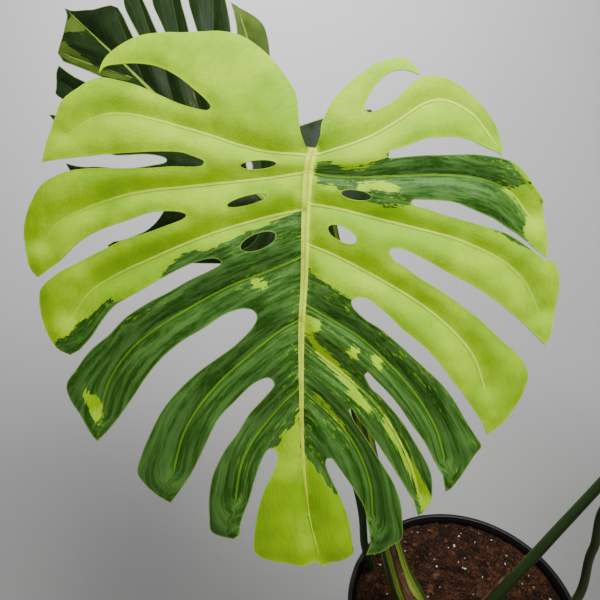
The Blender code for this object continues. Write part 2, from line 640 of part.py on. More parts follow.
def make_sheath(name, route, radii, span, arc, turn, color):
    """A thin dried sheath that wraps part of a stalk: a lofted shell, clear of the stalk by a fit."""
    first, last = span
    count = 14
    sides = 6
    rings = []
    for i in range(count + 1):
        at = first + (last - first) * i / count
        index = at * (len(route) - 1)
        low = min(int(index), len(route) - 2)
        spot = route[low].lerp(route[low + 1], index - low)
        forward = (route[low + 1] - route[low]).normalized()
        side = forward.cross(Vector((0.0, -1.0, 0.35))).normalized()
        front = side.cross(forward).normalized()
        place = (len(radii) - 1) * at
        slot = min(int(place), len(radii) - 2)
        radius = radii[slot] + (radii[slot + 1] - radii[slot]) * (place - slot) + 2 * FIT
        taper = math.sin(math.pi * (0.12 + 0.88 * i / count)) ** 0.6 if i < count else 0.25
        half = math.radians(arc) / 2 * max(taper, 0.25)
        ring = []
        for j in range(sides + 1):
            angle = math.radians(turn) - half + 2 * half * j / sides
            ring.append(spot + radius * 1.04 * (front * math.cos(angle) + side * math.sin(angle)))
        for j in reversed(range(sides + 1)):
            angle = math.radians(turn) - half + 2 * half * j / sides
            outer = radius * 1.04 + SHEATH_THICKNESS
            ring.append(spot + outer * (front * math.cos(angle) + side * math.sin(angle)))
        rings.append(ring)
    around = len(rings[0])
    points = [point for ring in rings for point in ring]
    faces = [
        (i * around + j, i * around + (j + 1) % around, (i + 1) * around + (j + 1) % around, (i + 1) * around + j)
        for i in range(count)
        for j in range(around)
    ]
    faces += [tuple(reversed(range(around))), tuple(count * around + j for j in range(around))]
    mesh = bpy.data.meshes.new(name)
    mesh.from_pydata(points, [], faces)
    shape = bmesh.new()
    shape.from_mesh(mesh)
    bmesh.ops.recalc_face_normals(shape, faces=shape.faces)
    shape.to_mesh(mesh)
    shape.free()
    return part(name, mesh, color, 0.8)


# Assembly

pot = make_pot()
soil = make_soil()
stem_route = smooth_route(STEM_AXIS, 12)
stem = part("stem", tube_curve("stem", stem_route, STEM_RADII, 4), (0.16, 0.17, 0.06), 0.6)

FRONT_RADII = [0.0130, 0.0146, 0.0100, 0.0074, 0.0060, 0.0055]
stalk_front, front_route = make_stalk(
    LEAF_FRONT,
    [
        beside_stem(150, -0.006, FRONT_RADII[0]),
        near_rim(-0.485, -0.10, 0.030),
        near_rim(-0.635, 0.11, 0.065),
        above_rim(-0.107, 0.050, 0.190),
        above_rim(-0.140, 0.098, 0.370),
    ],
    FRONT_RADII,
    30,
)
BACK_RADII = [0.0042, 0.0042, 0.0040, 0.0036, 0.0034]
stalk_back, back_route = make_stalk(
    LEAF_BACK,
    [
        near_rim(-0.715, 0.405, -SOIL_DROP - SHOOT_DEPTH),
        near_rim(-0.745, 0.425, -SOIL_DROP),
        near_rim(-0.835, 0.450, 0.030),
        above_rim(-0.108, 0.064, 0.100),
        above_rim(-0.150, 0.130, 0.230),
    ],
    BACK_RADII,
    26,
)
RIGHT_RADII = [0.0078, 0.0056, 0.0046, 0.0041, 0.0037]
stalk_right, right_route = make_stalk(
    LEAF_RIGHT,
    [
        beside_stem(75, -0.004, RIGHT_RADII[0]),
        near_rim(0.185, -0.080, 0.020),
        above_rim(0.075, 0.014, 0.088),
        above_rim(0.162, 0.055, 0.200),
        above_rim(0.235, 0.100, 0.320),
    ],
    RIGHT_RADII,
    26,
)
CORNER_RADII = [0.0045, 0.0043, 0.0040, 0.0036, 0.0033]
stalk_corner, corner_route = make_stalk(
    LEAF_CORNER,
    [
        near_rim(0.555, -0.305, -SOIL_DROP - SHOOT_DEPTH),
        near_rim(0.590, -0.290, -SOIL_DROP),
        near_rim(0.880, -0.140, 0.044),
        above_rim(0.103, -0.012, 0.110),
        above_rim(0.106, -0.030, 0.195),
    ],
    CORNER_RADII,
    24,
)

for leaf in (LEAF_FRONT, LEAF_BACK, LEAF_RIGHT, LEAF_CORNER):
    make_blade(leaf)

DRY = (0.13, 0.055, 0.03)
make_sheath("dried_sheath_front", front_route, FRONT_RADII, (0.10, 0.46), 120, 20, DRY)
make_sheath("dried_sheath_right", right_route, RIGHT_RADII, (0.10, 0.26), 100, -60, DRY)

ROOTS = [
    (215, 0.016, (-0.26, -0.62), 0.0036),
    (285, 0.010, (0.09, -0.66), 0.0031),
    (350, 0.022, (0.30, -0.50), 0.0034),
]
root_cutters = []
for i, (angle, height, plan, radius) in enumerate(ROOTS, start=1):
    start = beside_stem(angle, height, radius)
    end = near_rim(*plan, -SOIL_DROP - 0.018)
    over = start.lerp(end, 0.45)
    over.z = start.z - 0.004
    down = near_rim(*plan, -SOIL_DROP + 0.004)
    root_route = smooth_route([start, over, down, end], 12)
    root_radii = [radius, radius, 0.8 * radius]
    name = f"aerial_root_{i}"
    part(name, tube_curve(name, root_route, root_radii, 2), (0.16, 0.10, 0.05), 0.85)
    root_cutters.append((root_route, root_radii))


def cut_socket(name, route, radii, sides):
    """Opens the soil around a stem, shoot or root that grows down into it."""
    wider = [radius + FIT for radius in radii]
    down = route[0].z < route[-1].z
    end, before = (route[0], route[1]) if down else (route[-1], route[-2])
    longer = end + (end - before).normalized() * FIT
    path = [longer, *route[1:]] if down else [*route[:-1], longer]
    tool = cutter(name, tube_curve(name, path, wider, sides))
    cut(soil, plain_mesh(tool), name)


cut_socket("stem_socket", stem_route, STEM_RADII, 4)
cut_socket("front_socket", front_route, FRONT_RADII, 3)
cut_socket("back_socket", back_route, BACK_RADII, 3)
cut_socket("right_socket", right_route, RIGHT_RADII, 3)
cut_socket("corner_socket", corner_route, CORNER_RADII, 3)
for i, (root_route, root_radii) in enumerate(root_cutters, start=1):
    cut_socket(f"root_socket_{i}", root_route, root_radii, 2)
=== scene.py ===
"""A potted monstera: a black nursery pot of soil, a short stem, and four split leaves on long stalks.

Metres, +Z up. The origin is the centre of the pot's flat foot.
"""

import math
import random

import bmesh
import bpy
import numpy as np
from mathutils import Matrix, Vector, geometry, noise


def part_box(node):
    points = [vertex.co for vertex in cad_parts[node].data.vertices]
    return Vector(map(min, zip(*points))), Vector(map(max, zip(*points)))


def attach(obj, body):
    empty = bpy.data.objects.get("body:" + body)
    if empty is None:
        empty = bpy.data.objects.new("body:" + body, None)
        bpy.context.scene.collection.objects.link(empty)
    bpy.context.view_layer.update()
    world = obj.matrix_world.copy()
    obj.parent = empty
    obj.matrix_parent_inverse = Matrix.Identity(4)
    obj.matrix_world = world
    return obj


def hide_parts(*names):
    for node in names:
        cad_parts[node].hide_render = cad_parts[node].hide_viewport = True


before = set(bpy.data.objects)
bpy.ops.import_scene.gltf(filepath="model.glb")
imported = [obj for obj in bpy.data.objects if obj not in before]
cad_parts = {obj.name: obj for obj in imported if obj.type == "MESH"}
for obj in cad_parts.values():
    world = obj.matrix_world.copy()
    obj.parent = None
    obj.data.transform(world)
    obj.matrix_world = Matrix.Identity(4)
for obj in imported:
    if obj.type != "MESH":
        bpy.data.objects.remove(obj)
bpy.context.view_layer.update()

# Pot
# A thin black nursery pot, blow-moulded in one piece. It has a stepped band below a rolled double lip,
# two faint rings on its tapering wall, and round drain holes moulded through its foot.

RIM_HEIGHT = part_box("pot")[1][2]
RIM_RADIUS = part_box("pot")[1][0]
FOOT_RADIUS = 0.083
POT_WALL = 0.0019
BAND_HEIGHT = 0.022
BAND_STEP = 0.004
POT_STEPS = 144
DRAIN_HOLES = 8
DRAIN_RADIUS = 0.006


def new_finish(name):
    """A material with one Principled shader: (material, node tree, shader)."""
    finish = bpy.data.materials.new(name)
    finish.use_nodes = True
    return finish, finish.node_tree, finish.node_tree.nodes["Principled BSDF"]


def add(tree, kind, *inputs, **settings):
    """One node. Settings are its properties. Each input pairs a socket's name with a value or a socket."""
    made = tree.nodes.new(kind)
    for name, value in settings.items():
        setattr(made, name, value)
    for name, value in inputs:
        if isinstance(value, bpy.types.NodeSocket):
            tree.links.new(value, made.inputs[name])
        else:
            made.inputs[name].default_value = value
    return made


def sum_of(tree, operation, first, second=0.0, third=0.0, clamp=False):
    """A Math node's result."""
    inputs = [(0, first), (1, second), (2, third)]
    return add(tree, "ShaderNodeMath", *inputs, operation=operation, use_clamp=clamp).outputs[0]


def blend_of(tree, share, first, second, mode="MIX"):
    """Two colours mixed by a share."""
    made = add(tree, "ShaderNodeMix", data_type="RGBA", blend_type=mode, clamp_factor=True)
    for socket, value in ((0, share), (6, first), (7, second)):
        if isinstance(value, bpy.types.NodeSocket):
            tree.links.new(value, made.inputs[socket])
        else:
            made.inputs[socket].default_value = value if socket == 0 else (*value, 1.0)
    return made.outputs[2]


def step_of(tree, value, low, high):
    """0 below low, 1 above high, and a smooth rise between them."""
    inputs = [("Value", value), ("From Min", low), ("From Max", high)]
    return add(tree, "ShaderNodeMapRange", *inputs, interpolation_type="SMOOTHSTEP").outputs[0]


def noise_of(tree, place, scale, detail=3.0, rough=0.55):
    """A noise value from 0 to 1."""
    inputs = [("Vector", place), ("Scale", scale), ("Detail", detail), ("Roughness", rough)]
    return add(tree, "ShaderNodeTexNoise", *inputs).outputs[0]


def stretch_of(tree, place, scale, shift=(0.0, 0.0, 0.0)):
    """A place stretched along its axes."""
    inputs = [("Vector", place), ("Scale", scale), ("Location", shift)]
    return add(tree, "ShaderNodeMapping", *inputs).outputs[0]


def place_of(tree):
    """Object coordinates."""
    return add(tree, "ShaderNodeTexCoord").outputs["Object"]


def mark_of(tree, name, socket="Fac"):
    """A value stored on the mesh."""
    return add(tree, "ShaderNodeAttribute", attribute_name=name).outputs[socket]


def bump_onto(tree, shader, layers):
    """Bumps from (height socket, distance in metres, strength), laid over each other."""
    normal = None
    for height, distance, strength in layers:
        made = add(tree, "ShaderNodeBump", ("Height", height), ("Distance", distance), ("Strength", strength))
        if normal:
            tree.links.new(normal, made.inputs["Normal"])
        normal = made.outputs[0]
    tree.links.new(normal, shader.inputs["Normal"])


def pot_finish():
    """Black polypropylene: satin, faintly pebbled, with soil dust on its edges and round its foot."""
    finish, tree, shader = new_finish("black_plastic")
    place = place_of(tree)
    cloud = noise_of(tree, place, 22.0, 5.0)
    grain = noise_of(tree, place, 900.0, 2.0)
    scuff = noise_of(tree, stretch_of(tree, place, (40.0, 40.0, 420.0)), 1.0, 4.0, 0.7)
    height = add(tree, "ShaderNodeSeparateXYZ", ("Vector", place)).outputs["Z"]
    foot_dust = sum_of(tree, "SUBTRACT", 1.0, step_of(tree, height, 0.0, 0.055))
    rim_dust = step_of(tree, height, RIM_HEIGHT - 0.020, RIM_HEIGHT + 0.002)
    dust = sum_of(tree, "ADD", foot_dust, sum_of(tree, "MULTIPLY", rim_dust, 0.45))
    dust = sum_of(tree, "MULTIPLY", dust, step_of(tree, cloud, 0.42, 0.72), clamp=True)
    black = blend_of(tree, cloud, (0.0085, 0.0085, 0.0095), (0.019, 0.019, 0.020))
    black = blend_of(tree, step_of(tree, scuff, 0.66, 0.80), black, (0.045, 0.045, 0.046))
    color = blend_of(tree, sum_of(tree, "MULTIPLY", dust, 0.35), black, (0.085, 0.062, 0.045))
    tree.links.new(color, shader.inputs["Base Color"])
    rough = sum_of(tree, "MULTIPLY_ADD", cloud, 0.22, 0.28)
    rough = sum_of(tree, "MULTIPLY_ADD", dust, 0.25, rough, clamp=True)
    tree.links.new(rough, shader.inputs["Roughness"])
    bump_onto(tree, shader, [(grain, 0.00012, 0.35), (cloud, 0.0006, 0.25)])
    return finish


def softened(points, share=0.32, steps=3):
    """A line of (radius, height) whose inner corners are rounded."""
    line = [Vector(points[0])]
    for before, corner, after in zip(points, points[1:], points[2:]):
        before, corner, after = Vector(before), Vector(corner), Vector(after)
        start, end = corner.lerp(before, share), corner.lerp(after, share)
        for i in range(steps + 1):
            t = i / steps
            line.append(start.lerp(corner, t).lerp(corner.lerp(end, t), t))
    return [*line, Vector(points[-1])]


def turned_mesh(name, profile, steps):
    """A closed profile of (radius, height) turned about the Z axis. Radius 0 becomes one pole."""
    points, rings = [], []
    for radius, height in profile:
        if radius < 1e-7:
            rings.append([len(points)] * steps)
            points.append((0.0, 0.0, height))
            continue
        rings.append(list(range(len(points), len(points) + steps)))
        for i in range(steps):
            angle = 2 * math.pi * i / steps
            points.append((radius * math.cos(angle), radius * math.sin(angle), height))
    faces = []
    for low, high in zip(rings, rings[1:] + rings[:1]):
        for i in range(steps):
            j = (i + 1) % steps
            corners = [low[i], low[j], high[j], high[i]]
            face = [corner for n, corner in enumerate(corners) if corner not in corners[:n]]
            if len(face) > 2:
                faces.append(face)
    mesh = bpy.data.meshes.new(name)
    mesh.from_pydata(points, [], faces)
    return mesh


def tidy_faces(mesh, crease=35.0):
    """Turns the faces outwards and shades them smooth, with an edge where they turn sharply."""
    shape = bmesh.new()
    shape.from_mesh(mesh)
    bmesh.ops.remove_doubles(shape, verts=shape.verts, dist=1e-6)
    bmesh.ops.recalc_face_normals(shape, faces=shape.faces)
    shape.to_mesh(mesh)
    shape.free()
    mesh.shade_smooth()
    mesh.set_sharp_from_angle(angle=math.radians(crease))


def show(name, mesh, finish):
    """An object at the origin that holds a finished mesh."""
    piece = bpy.data.objects.new(name, mesh)
    mesh.materials.clear()
    mesh.materials.append(finish)
    bpy.context.scene.collection.objects.link(piece)
    return piece


def applied(piece):
    """The piece as a plain mesh, with its modifiers applied and nothing else left of it."""
    graph = bpy.context.evaluated_depsgraph_get()
    mesh = bpy.data.meshes.new_from_object(piece.evaluated_get(graph), depsgraph=graph)
    mesh.name = piece.name + "_mesh"
    bpy.data.objects.remove(piece)
    return mesh


def onto_frame(piece, slot, *nodes):
    """The piece stands for its CAD nodes, which it hides, and rides on the one body. slot: not used."""
    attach(piece, "root")
    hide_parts(*nodes)


def wall_radius(height):
    """The outer radius of the pot's tapering wall below its band."""
    top = RIM_RADIUS - BAND_STEP
    return FOOT_RADIUS + (top - FOOT_RADIUS) * min(height / (RIM_HEIGHT - BAND_HEIGHT), 1.0)


def ring_on_wall(height, rise):
    """Three points that raise a low ring on the wall."""
    return [
        (wall_radius(height - 0.0022), height - 0.0022),
        (wall_radius(height) + rise, height),
        (wall_radius(height + 0.0022), height + 0.0022),
    ]


def pot_mesh():
    """The shell in section, from the foot's middle up the outside, over the lip and down the inside."""
    band = RIM_HEIGHT - BAND_HEIGHT
    outside = [
        (0.0, 0.0022),
        (FOOT_RADIUS - 0.020, 0.0022),
        (FOOT_RADIUS - 0.016, 0.0),
        (FOOT_RADIUS - 0.004, 0.0),
        (FOOT_RADIUS - 0.0012, 0.0014),
        (wall_radius(0.006), 0.006),
        *ring_on_wall(0.030, 0.0007),
        *ring_on_wall(0.150, 0.0006),
        (wall_radius(band - 0.0006), band - 0.0006),
        (RIM_RADIUS - 0.0021, band + 0.0008),
        (RIM_RADIUS - 0.0016, RIM_HEIGHT - 0.0078),
        (RIM_RADIUS - 0.0010, RIM_HEIGHT - 0.0066),
        (RIM_RADIUS + 0.0006, RIM_HEIGHT - 0.0054),
        (RIM_RADIUS + 0.0008, RIM_HEIGHT - 0.0010),
        (RIM_RADIUS + 0.0001, RIM_HEIGHT),
    ]
    inside = [
        (RIM_RADIUS - 0.0008, RIM_HEIGHT - 0.0001),
        (RIM_RADIUS - 0.0013, RIM_HEIGHT - 0.0013),
        (RIM_RADIUS - 0.0021, RIM_HEIGHT - 0.0013),
        (RIM_RADIUS - 0.0026, RIM_HEIGHT - 0.0002),
        (RIM_RADIUS - 0.0036, RIM_HEIGHT - 0.0003),
        (RIM_RADIUS - 0.0041, RIM_HEIGHT - 0.0030),
        (RIM_RADIUS - 0.0031 - POT_WALL, RIM_HEIGHT - 0.0060),
        (wall_radius(band) - POT_WALL, band - 0.001),
        (wall_radius(0.008) - POT_WALL, 0.008),
        (FOOT_RADIUS - 0.006, 0.0034),
        (0.0, 0.0034),
    ]
    profile = softened(outside) + softened(inside)
    shell = show("pot_shell", turned_mesh("pot_shell", profile, POT_STEPS), pot_finish())
    tidy_faces(shell.data)
    drills = bmesh.new()
    for i in range(DRAIN_HOLES):
        angle = 2 * math.pi * (i + 0.5) / DRAIN_HOLES
        spot = Vector((0.68 * FOOT_RADIUS * math.cos(angle), 0.68 * FOOT_RADIUS * math.sin(angle), 0.002))
        sizes = dict(segments=28, radius1=DRAIN_RADIUS, radius2=DRAIN_RADIUS, depth=0.012)
        bmesh.ops.create_cone(drills, cap_ends=True, matrix=Matrix.Translation(spot), **sizes)
    drill_mesh = bpy.data.meshes.new("drills")
    drills.to_mesh(drill_mesh)
    drills.free()
    drill = show("drills", drill_mesh, shell.data.materials[0])
    boolean = shell.modifiers.new("drain", "BOOLEAN")
    boolean.object = drill
    boolean.operation = "DIFFERENCE"
    mesh = applied(shell)
    bpy.data.objects.remove(drill)
    mesh.shade_smooth()
    mesh.set_sharp_from_angle(angle=math.radians(38))
    return mesh


pot_shell = pot_mesh()
pot = show("nursery_pot", pot_shell, pot_shell.materials[0])
onto_frame(pot, "pot", "pot")

# Soil
# Dark brown coir and peat, pressed into the pot to 11 mm below its rim. Crumbs, white perlite grains,
# bark chips and coir fibres lie loose on top, held only by their weight.

SOIL_DROP = 0.011
SOIL_RADIUS = RIM_RADIUS - BAND_STEP - POT_WALL - 0.0006
SOIL_GRID = 190
BED_GRID = 60


def soil_height(x, y):
    """The soil's top: heaped a little at the back, with broad lumps, small clods and a hollow at the wall."""
    level = RIM_HEIGHT - SOIL_DROP + 0.0035 * min(max(y / 0.08, 0.0), 1.0)
    wave = math.sin(x * 95 + 1.3) * math.cos(y * 110 - 0.4) + 0.6 * math.sin((x - y) * 170)
    inward = 1.0 - math.hypot(x, y) / SOIL_RADIUS
    clods = noise.noise(Vector((x * 120, y * 120, 3.0))) * 0.0016
    bits = noise.noise(Vector((x * 310, y * 310, 8.0))) * 0.0011
    crumb = noise.noise(Vector((x * 700, y * 700, 1.0))) * 0.0009
    wall = -0.0020 * math.exp(-inward * 40)
    return level + 0.0006 + 0.0016 * wave * min(1.0, 4 * inward) + clods + bits + crumb + wall


def disc_points(radius, count):
    """A square grid of points pressed into a disc, row by row."""
    steps = np.linspace(-1.0, 1.0, count + 1)
    a, b = np.meshgrid(steps, steps)
    a, b = a.ravel() + 1e-9, b.ravel() + 1e-9
    wide = np.abs(a) > np.abs(b)
    reach = np.where(wide, a, b)
    turn = np.where(wide, math.pi / 4 * b / a, math.pi / 2 - math.pi / 4 * a / b)
    return radius * reach * np.cos(turn), radius * reach * np.sin(turn)


def soil_mesh():
    """The lumpy top, a side that follows the pot's wall, and a flat underside."""
    xs, ys = disc_points(SOIL_RADIUS, SOIL_GRID)
    row = SOIL_GRID + 1
    points = [(x, y, soil_height(x, y)) for x, y in zip(xs.tolist(), ys.tolist())]
    faces = []
    for j in range(SOIL_GRID):
        for i in range(SOIL_GRID):
            first = j * row + i
            faces.append((first, first + 1, first + row + 1, first + row))
    last = SOIL_GRID * row
    rim = list(range(row)) + [row * j + row - 1 for j in range(1, row)]
    rim += [last + i for i in reversed(range(row - 1))] + [row * j for j in reversed(range(1, row - 1))]
    for height in (RIM_HEIGHT - BAND_HEIGHT - 0.002, 0.009, 0.0038):
        radius = wall_radius(height) - POT_WALL - 0.0006 if height > 0.005 else FOOT_RADIUS - 0.009
        below = []
        for corner in rim:
            x, y = points[corner][:2]
            scale = radius / math.hypot(x, y)
            below.append(len(points))
            points.append((x * scale, y * scale, height))
        for i in range(len(rim)):
            j = (i + 1) % len(rim)
            faces.append((rim[i], below[i], below[j], rim[j]))
        rim = below
    faces.append(tuple(rim))
    mesh = bpy.data.meshes.new("soil_plug")
    mesh.from_pydata(points, [], faces)
    return mesh


def earth_finish():
    """Peat and coir: cells of several browns, dark and damp in broad patches, with a strong grain."""
    finish, tree, shader = new_finish("potting_mix")
    place = place_of(tree)
    cells = add(tree, "ShaderNodeTexVoronoi", ("Vector", place), ("Scale", 520.0), ("Randomness", 1.0))
    tone = add(tree, "ShaderNodeSeparateXYZ", ("Vector", cells.outputs["Color"])).outputs["X"]
    fine = noise_of(tree, place, 1500.0, 4.0, 0.7)
    broad = noise_of(tree, place, 90.0, 4.0)
    brown = blend_of(tree, step_of(tree, tone, 0.15, 0.95), (0.022, 0.0080, 0.0036), (0.106, 0.037, 0.015))
    brown = blend_of(tree, step_of(tree, fine, 0.52, 0.75), brown, (0.150, 0.058, 0.026))
    brown = blend_of(tree, step_of(tree, broad, 0.62, 0.40), brown, (0.014, 0.0065, 0.004))
    tree.links.new(brown, shader.inputs["Base Color"])
    shader.inputs["Roughness"].default_value = 0.92
    shader.inputs["Specular IOR Level"].default_value = 0.25
    edge = cells.outputs["Distance"]
    bump_onto(tree, shader, [(edge, 0.0010, 0.9), (fine, 0.0007, 0.9), (broad, 0.0012, 0.6)])
    return finish


def grain_finish(name, dark, light, roughness, spots=None):
    """A loose grain whose tint changes from one to the next."""
    finish, tree, shader = new_finish(name)
    place = place_of(tree)
    fine = noise_of(tree, place, 1300.0, 4.0, 0.65)
    color = blend_of(tree, mark_of(tree, "tint"), dark, light)
    spotted = sum_of(tree, "MULTIPLY", step_of(tree, fine, 0.45, 0.8), 0.6)
    color = blend_of(tree, spotted, color, spots or dark)
    tree.links.new(color, shader.inputs["Base Color"])
    shader.inputs["Roughness"].default_value = roughness
    shader.inputs["Specular IOR Level"].default_value = 0.3
    bump_onto(tree, shader, [(fine, 0.0005, 0.8)])
    return finish


def node_group(name, *sockets):
    """An empty geometry tree with named inputs: (tree, input node, output node)."""
    tree = bpy.data.node_groups.new(name, "GeometryNodeTree")
    tree.interface.new_socket(name="Geometry", in_out="INPUT", socket_type="NodeSocketGeometry")
    for label, kind in sockets:
        tree.interface.new_socket(name=label, in_out="INPUT", socket_type="NodeSocket" + kind)
    tree.interface.new_socket(name="Geometry", in_out="OUTPUT", socket_type="NodeSocketGeometry")
    return tree, tree.nodes.new("NodeGroupInput"), tree.nodes.new("NodeGroupOutput")


def run_group(piece, tree, **values):
    """Puts the tree on the piece with these input values, and gives the plain mesh that it makes."""
    modifier = piece.modifiers.new(tree.name, "NODES")
    modifier.node_group = tree
    for item in tree.interface.items_tree:
        if item.item_type == "SOCKET" and item.in_out == "INPUT" and item.name in values:
            modifier[item.identifier] = values[item.name]
    return applied(piece)


def triple(tree, x, y, z):
    """A vector from three values."""
    return add(tree, "ShaderNodeCombineXYZ", ("X", x), ("Y", y), ("Z", z)).outputs[0]


def scatter_group():
    """Grains strewn over a bed: each has its own turn, size on each axis, and tint."""
    sizes = [("Grain", "Object"), ("Density", "Float"), ("Smallest", "Float"), ("Largest", "Float")]
    sizes += [("Flatness", "Float"), ("Tilt", "Float"), ("Seed", "Int"), ("Finish", "Material")]
    tree, given, made = node_group("Strewn Grains", *sizes)
    given = given.outputs
    strew = [("Mesh", given["Geometry"]), ("Density", given["Density"]), ("Seed", given["Seed"])]
    spots = add(tree, "GeometryNodeDistributePointsOnFaces", *strew)
    tilt = given["Tilt"]
    back = sum_of(tree, "MULTIPLY", tilt, -1.0)
    turn = add(tree, "FunctionNodeRandomValue", data_type="FLOAT_VECTOR")
    tree.links.new(triple(tree, back, back, -math.pi), turn.inputs[0])
    tree.links.new(triple(tree, tilt, tilt, math.pi), turn.inputs[1])
    tree.links.new(given["Seed"], turn.inputs["Seed"])
    lie = add(tree, "FunctionNodeRotateRotation", rotation_space="LOCAL")
    tree.links.new(spots.outputs["Rotation"], lie.inputs[0])
    tree.links.new(turn.outputs[0], lie.inputs[1])
    size = add(tree, "FunctionNodeRandomValue", data_type="FLOAT_VECTOR")
    thin = sum_of(tree, "MULTIPLY", given["Smallest"], given["Flatness"])
    thick = sum_of(tree, "MULTIPLY", given["Largest"], given["Flatness"])
    tree.links.new(triple(tree, given["Smallest"], given["Smallest"], thin), size.inputs[0])
    tree.links.new(triple(tree, given["Largest"], given["Largest"], thick), size.inputs[1])
    tree.links.new(sum_of(tree, "ADD", given["Seed"], 7.0), size.inputs["Seed"])
    grain = add(tree, "GeometryNodeObjectInfo", ("Object", given["Grain"]))
    laid = add(tree, "GeometryNodeInstanceOnPoints", ("Points", spots.outputs["Points"]))
    tree.links.new(grain.outputs["Geometry"], laid.inputs["Instance"])
    tree.links.new(lie.outputs[0], laid.inputs["Rotation"])
    tree.links.new(size.outputs[0], laid.inputs["Scale"])
    tint = add(tree, "FunctionNodeRandomValue", data_type="FLOAT")
    tree.links.new(sum_of(tree, "ADD", given["Seed"], 21.0), tint.inputs["Seed"])
    marked = add(tree, "GeometryNodeStoreNamedAttribute", data_type="FLOAT", domain="INSTANCE")
    tree.links.new(laid.outputs[0], marked.inputs["Geometry"])
    marked.inputs["Name"].default_value = "tint"
    tree.links.new(tint.outputs[1], next(s for s in marked.inputs if s.name == "Value" and s.enabled))
    real = add(tree, "GeometryNodeRealizeInstances", (0, marked.outputs[0]))
    finished = add(tree, "GeometryNodeSetMaterial", (0, real.outputs[0]), ("Material", given["Finish"]))
    tree.links.new(finished.outputs[0], made.inputs[0])
    return tree


def grain_shape(name, fineness, rough, seed):
    """A lumpy grain about 1 m across, for the strewing to scale."""
    shape = bmesh.new()
    bmesh.ops.create_icosphere(shape, subdivisions=fineness, radius=0.5)
    for vertex in shape.verts:
        spot = vertex.co * 2.3 + Vector((seed, seed, seed))
        vertex.co *= 1.0 + rough * noise.noise(spot)
    mesh = bpy.data.meshes.new(name)
    shape.to_mesh(mesh)
    shape.free()
    grain = bpy.data.objects.new(name, mesh)
    bpy.context.scene.collection.objects.link(grain)
    return grain


def fibre_shape():
    """A curled coir fibre, about 1 m from end to end, for the strewing to scale."""
    shape = bmesh.new()
    rings = []
    for i in range(9):
        t = i / 8
        middle = Vector((t - 0.5, 0.16 * math.sin(3.6 * t + 0.4), 0.10 * math.sin(5.0 * t)))
        width = 0.010 + 0.010 * math.sin(math.pi * t)
        ring = []
        for turn in (0.0, 2.094, 4.189):
            out = Vector((0, width * math.cos(turn), width * math.sin(turn)))
            ring.append(shape.verts.new(middle + out))
        rings.append(ring)
    for low, high in zip(rings, rings[1:]):
        for i in range(3):
            shape.faces.new((low[i], low[(i + 1) % 3], high[(i + 1) % 3], high[i]))
    shape.faces.new(rings[0][::-1])
    shape.faces.new(rings[-1])
    bmesh.ops.recalc_face_normals(shape, faces=shape.faces)
    mesh = bpy.data.meshes.new("fibre")
    shape.to_mesh(mesh)
    shape.free()
    fibre = bpy.data.objects.new("fibre", mesh)
    bpy.context.scene.collection.objects.link(fibre)
    return fibre


plug_mesh = soil_mesh()
tidy_faces(plug_mesh, 80.0)
soil = show("potting_soil", plug_mesh, earth_finish())
onto_frame(soil, "soil", "soil")

strewing = scatter_group()


def strewn(name, grain, finish, density, sizes, flatness, tilt, seed):
    """Loose grains on the soil's top, as one piece."""
    xs, ys = disc_points(SOIL_RADIUS - 0.002, BED_GRID)
    bed = bpy.data.meshes.new(name + "_bed")
    rise = 0.12 * sizes[0] * flatness
    points = [(x, y, soil_height(x, y) + rise) for x, y in zip(xs.tolist(), ys.tolist())]
    row = BED_GRID + 1
    corners = [j * row + i for j in range(BED_GRID) for i in range(BED_GRID)]
    bed.from_pydata(points, [], [(c, c + 1, c + row + 1, c + row) for c in corners])
    carrier = bpy.data.objects.new(name + "_bed", bed)
    bpy.context.scene.collection.objects.link(carrier)
    values = dict(Grain=grain, Density=density, Smallest=sizes[0], Largest=sizes[1])
    values |= dict(Flatness=flatness, Tilt=tilt, Seed=seed, Finish=finish)
    mesh = run_group(carrier, strewing, **values)
    bpy.data.objects.remove(grain)
    mesh.shade_smooth()
    piece = show(name, mesh, finish)
    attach(piece, "root")


CRUMB_TONES = (0.022, 0.0080, 0.0035), (0.150, 0.054, 0.023)
CRUMB_BROWN = grain_finish("coir_crumb", *CRUMB_TONES, 0.9, (0.070, 0.025, 0.011))
PERLITE_WHITE = grain_finish("perlite", (0.62, 0.58, 0.52), (0.86, 0.84, 0.80), 0.75, (0.42, 0.36, 0.30))
BARK_BROWN = grain_finish("bark", (0.055, 0.020, 0.009), (0.17, 0.068, 0.028), 0.8, (0.030, 0.012, 0.006))
COIR_TAN = grain_finish("coir_fibre", (0.045, 0.018, 0.008), (0.20, 0.090, 0.040), 0.8, (0.10, 0.045, 0.02))

# Each kind: its shape and finish, grains per square metre, smallest and largest size, flatness, tilt, seed.
strewn("soil_crumbs", grain_shape("crumb", 1, 0.7, 2.0), CRUMB_BROWN, 120000, (0.0008, 0.0030), 0.7, 3.1, 3)
strewn("soil_clods", grain_shape("clod", 2, 0.8, 5.0), CRUMB_BROWN, 4500, (0.0030, 0.0060), 0.6, 3.1, 12)
perlite = grain_shape("perlite", 2, 0.9, 9.0)
strewn("perlite_grains", perlite, PERLITE_WHITE, 2700, (0.0009, 0.0034), 0.75, 3.1, 41)
strewn("bark_chips", grain_shape("chip", 2, 0.9, 7.0), BARK_BROWN, 1100, (0.0040, 0.0120), 0.28, 0.5, 18)
strewn("coir_fibres", fibre_shape(), COIR_TAN, 26000, (0.0040, 0.0110), 1.0, 0.35, 27)

# Stem
# The plant's short woody stub, brown-green and ringed by the scars of old leaves. It grows out of the soil
# and the two thick stalks clasp its sides. STEM_PLACE is in rim radii.

STEM_RADIUS = 0.015
STEM_PLACE = (-0.045, -0.390)
STEM_TOP = 0.052


def above_rim(x, y, height):
    """A point of the plant: metres from the pot's axis, and a height from the rim."""
    return Vector((x, y, RIM_HEIGHT + height))


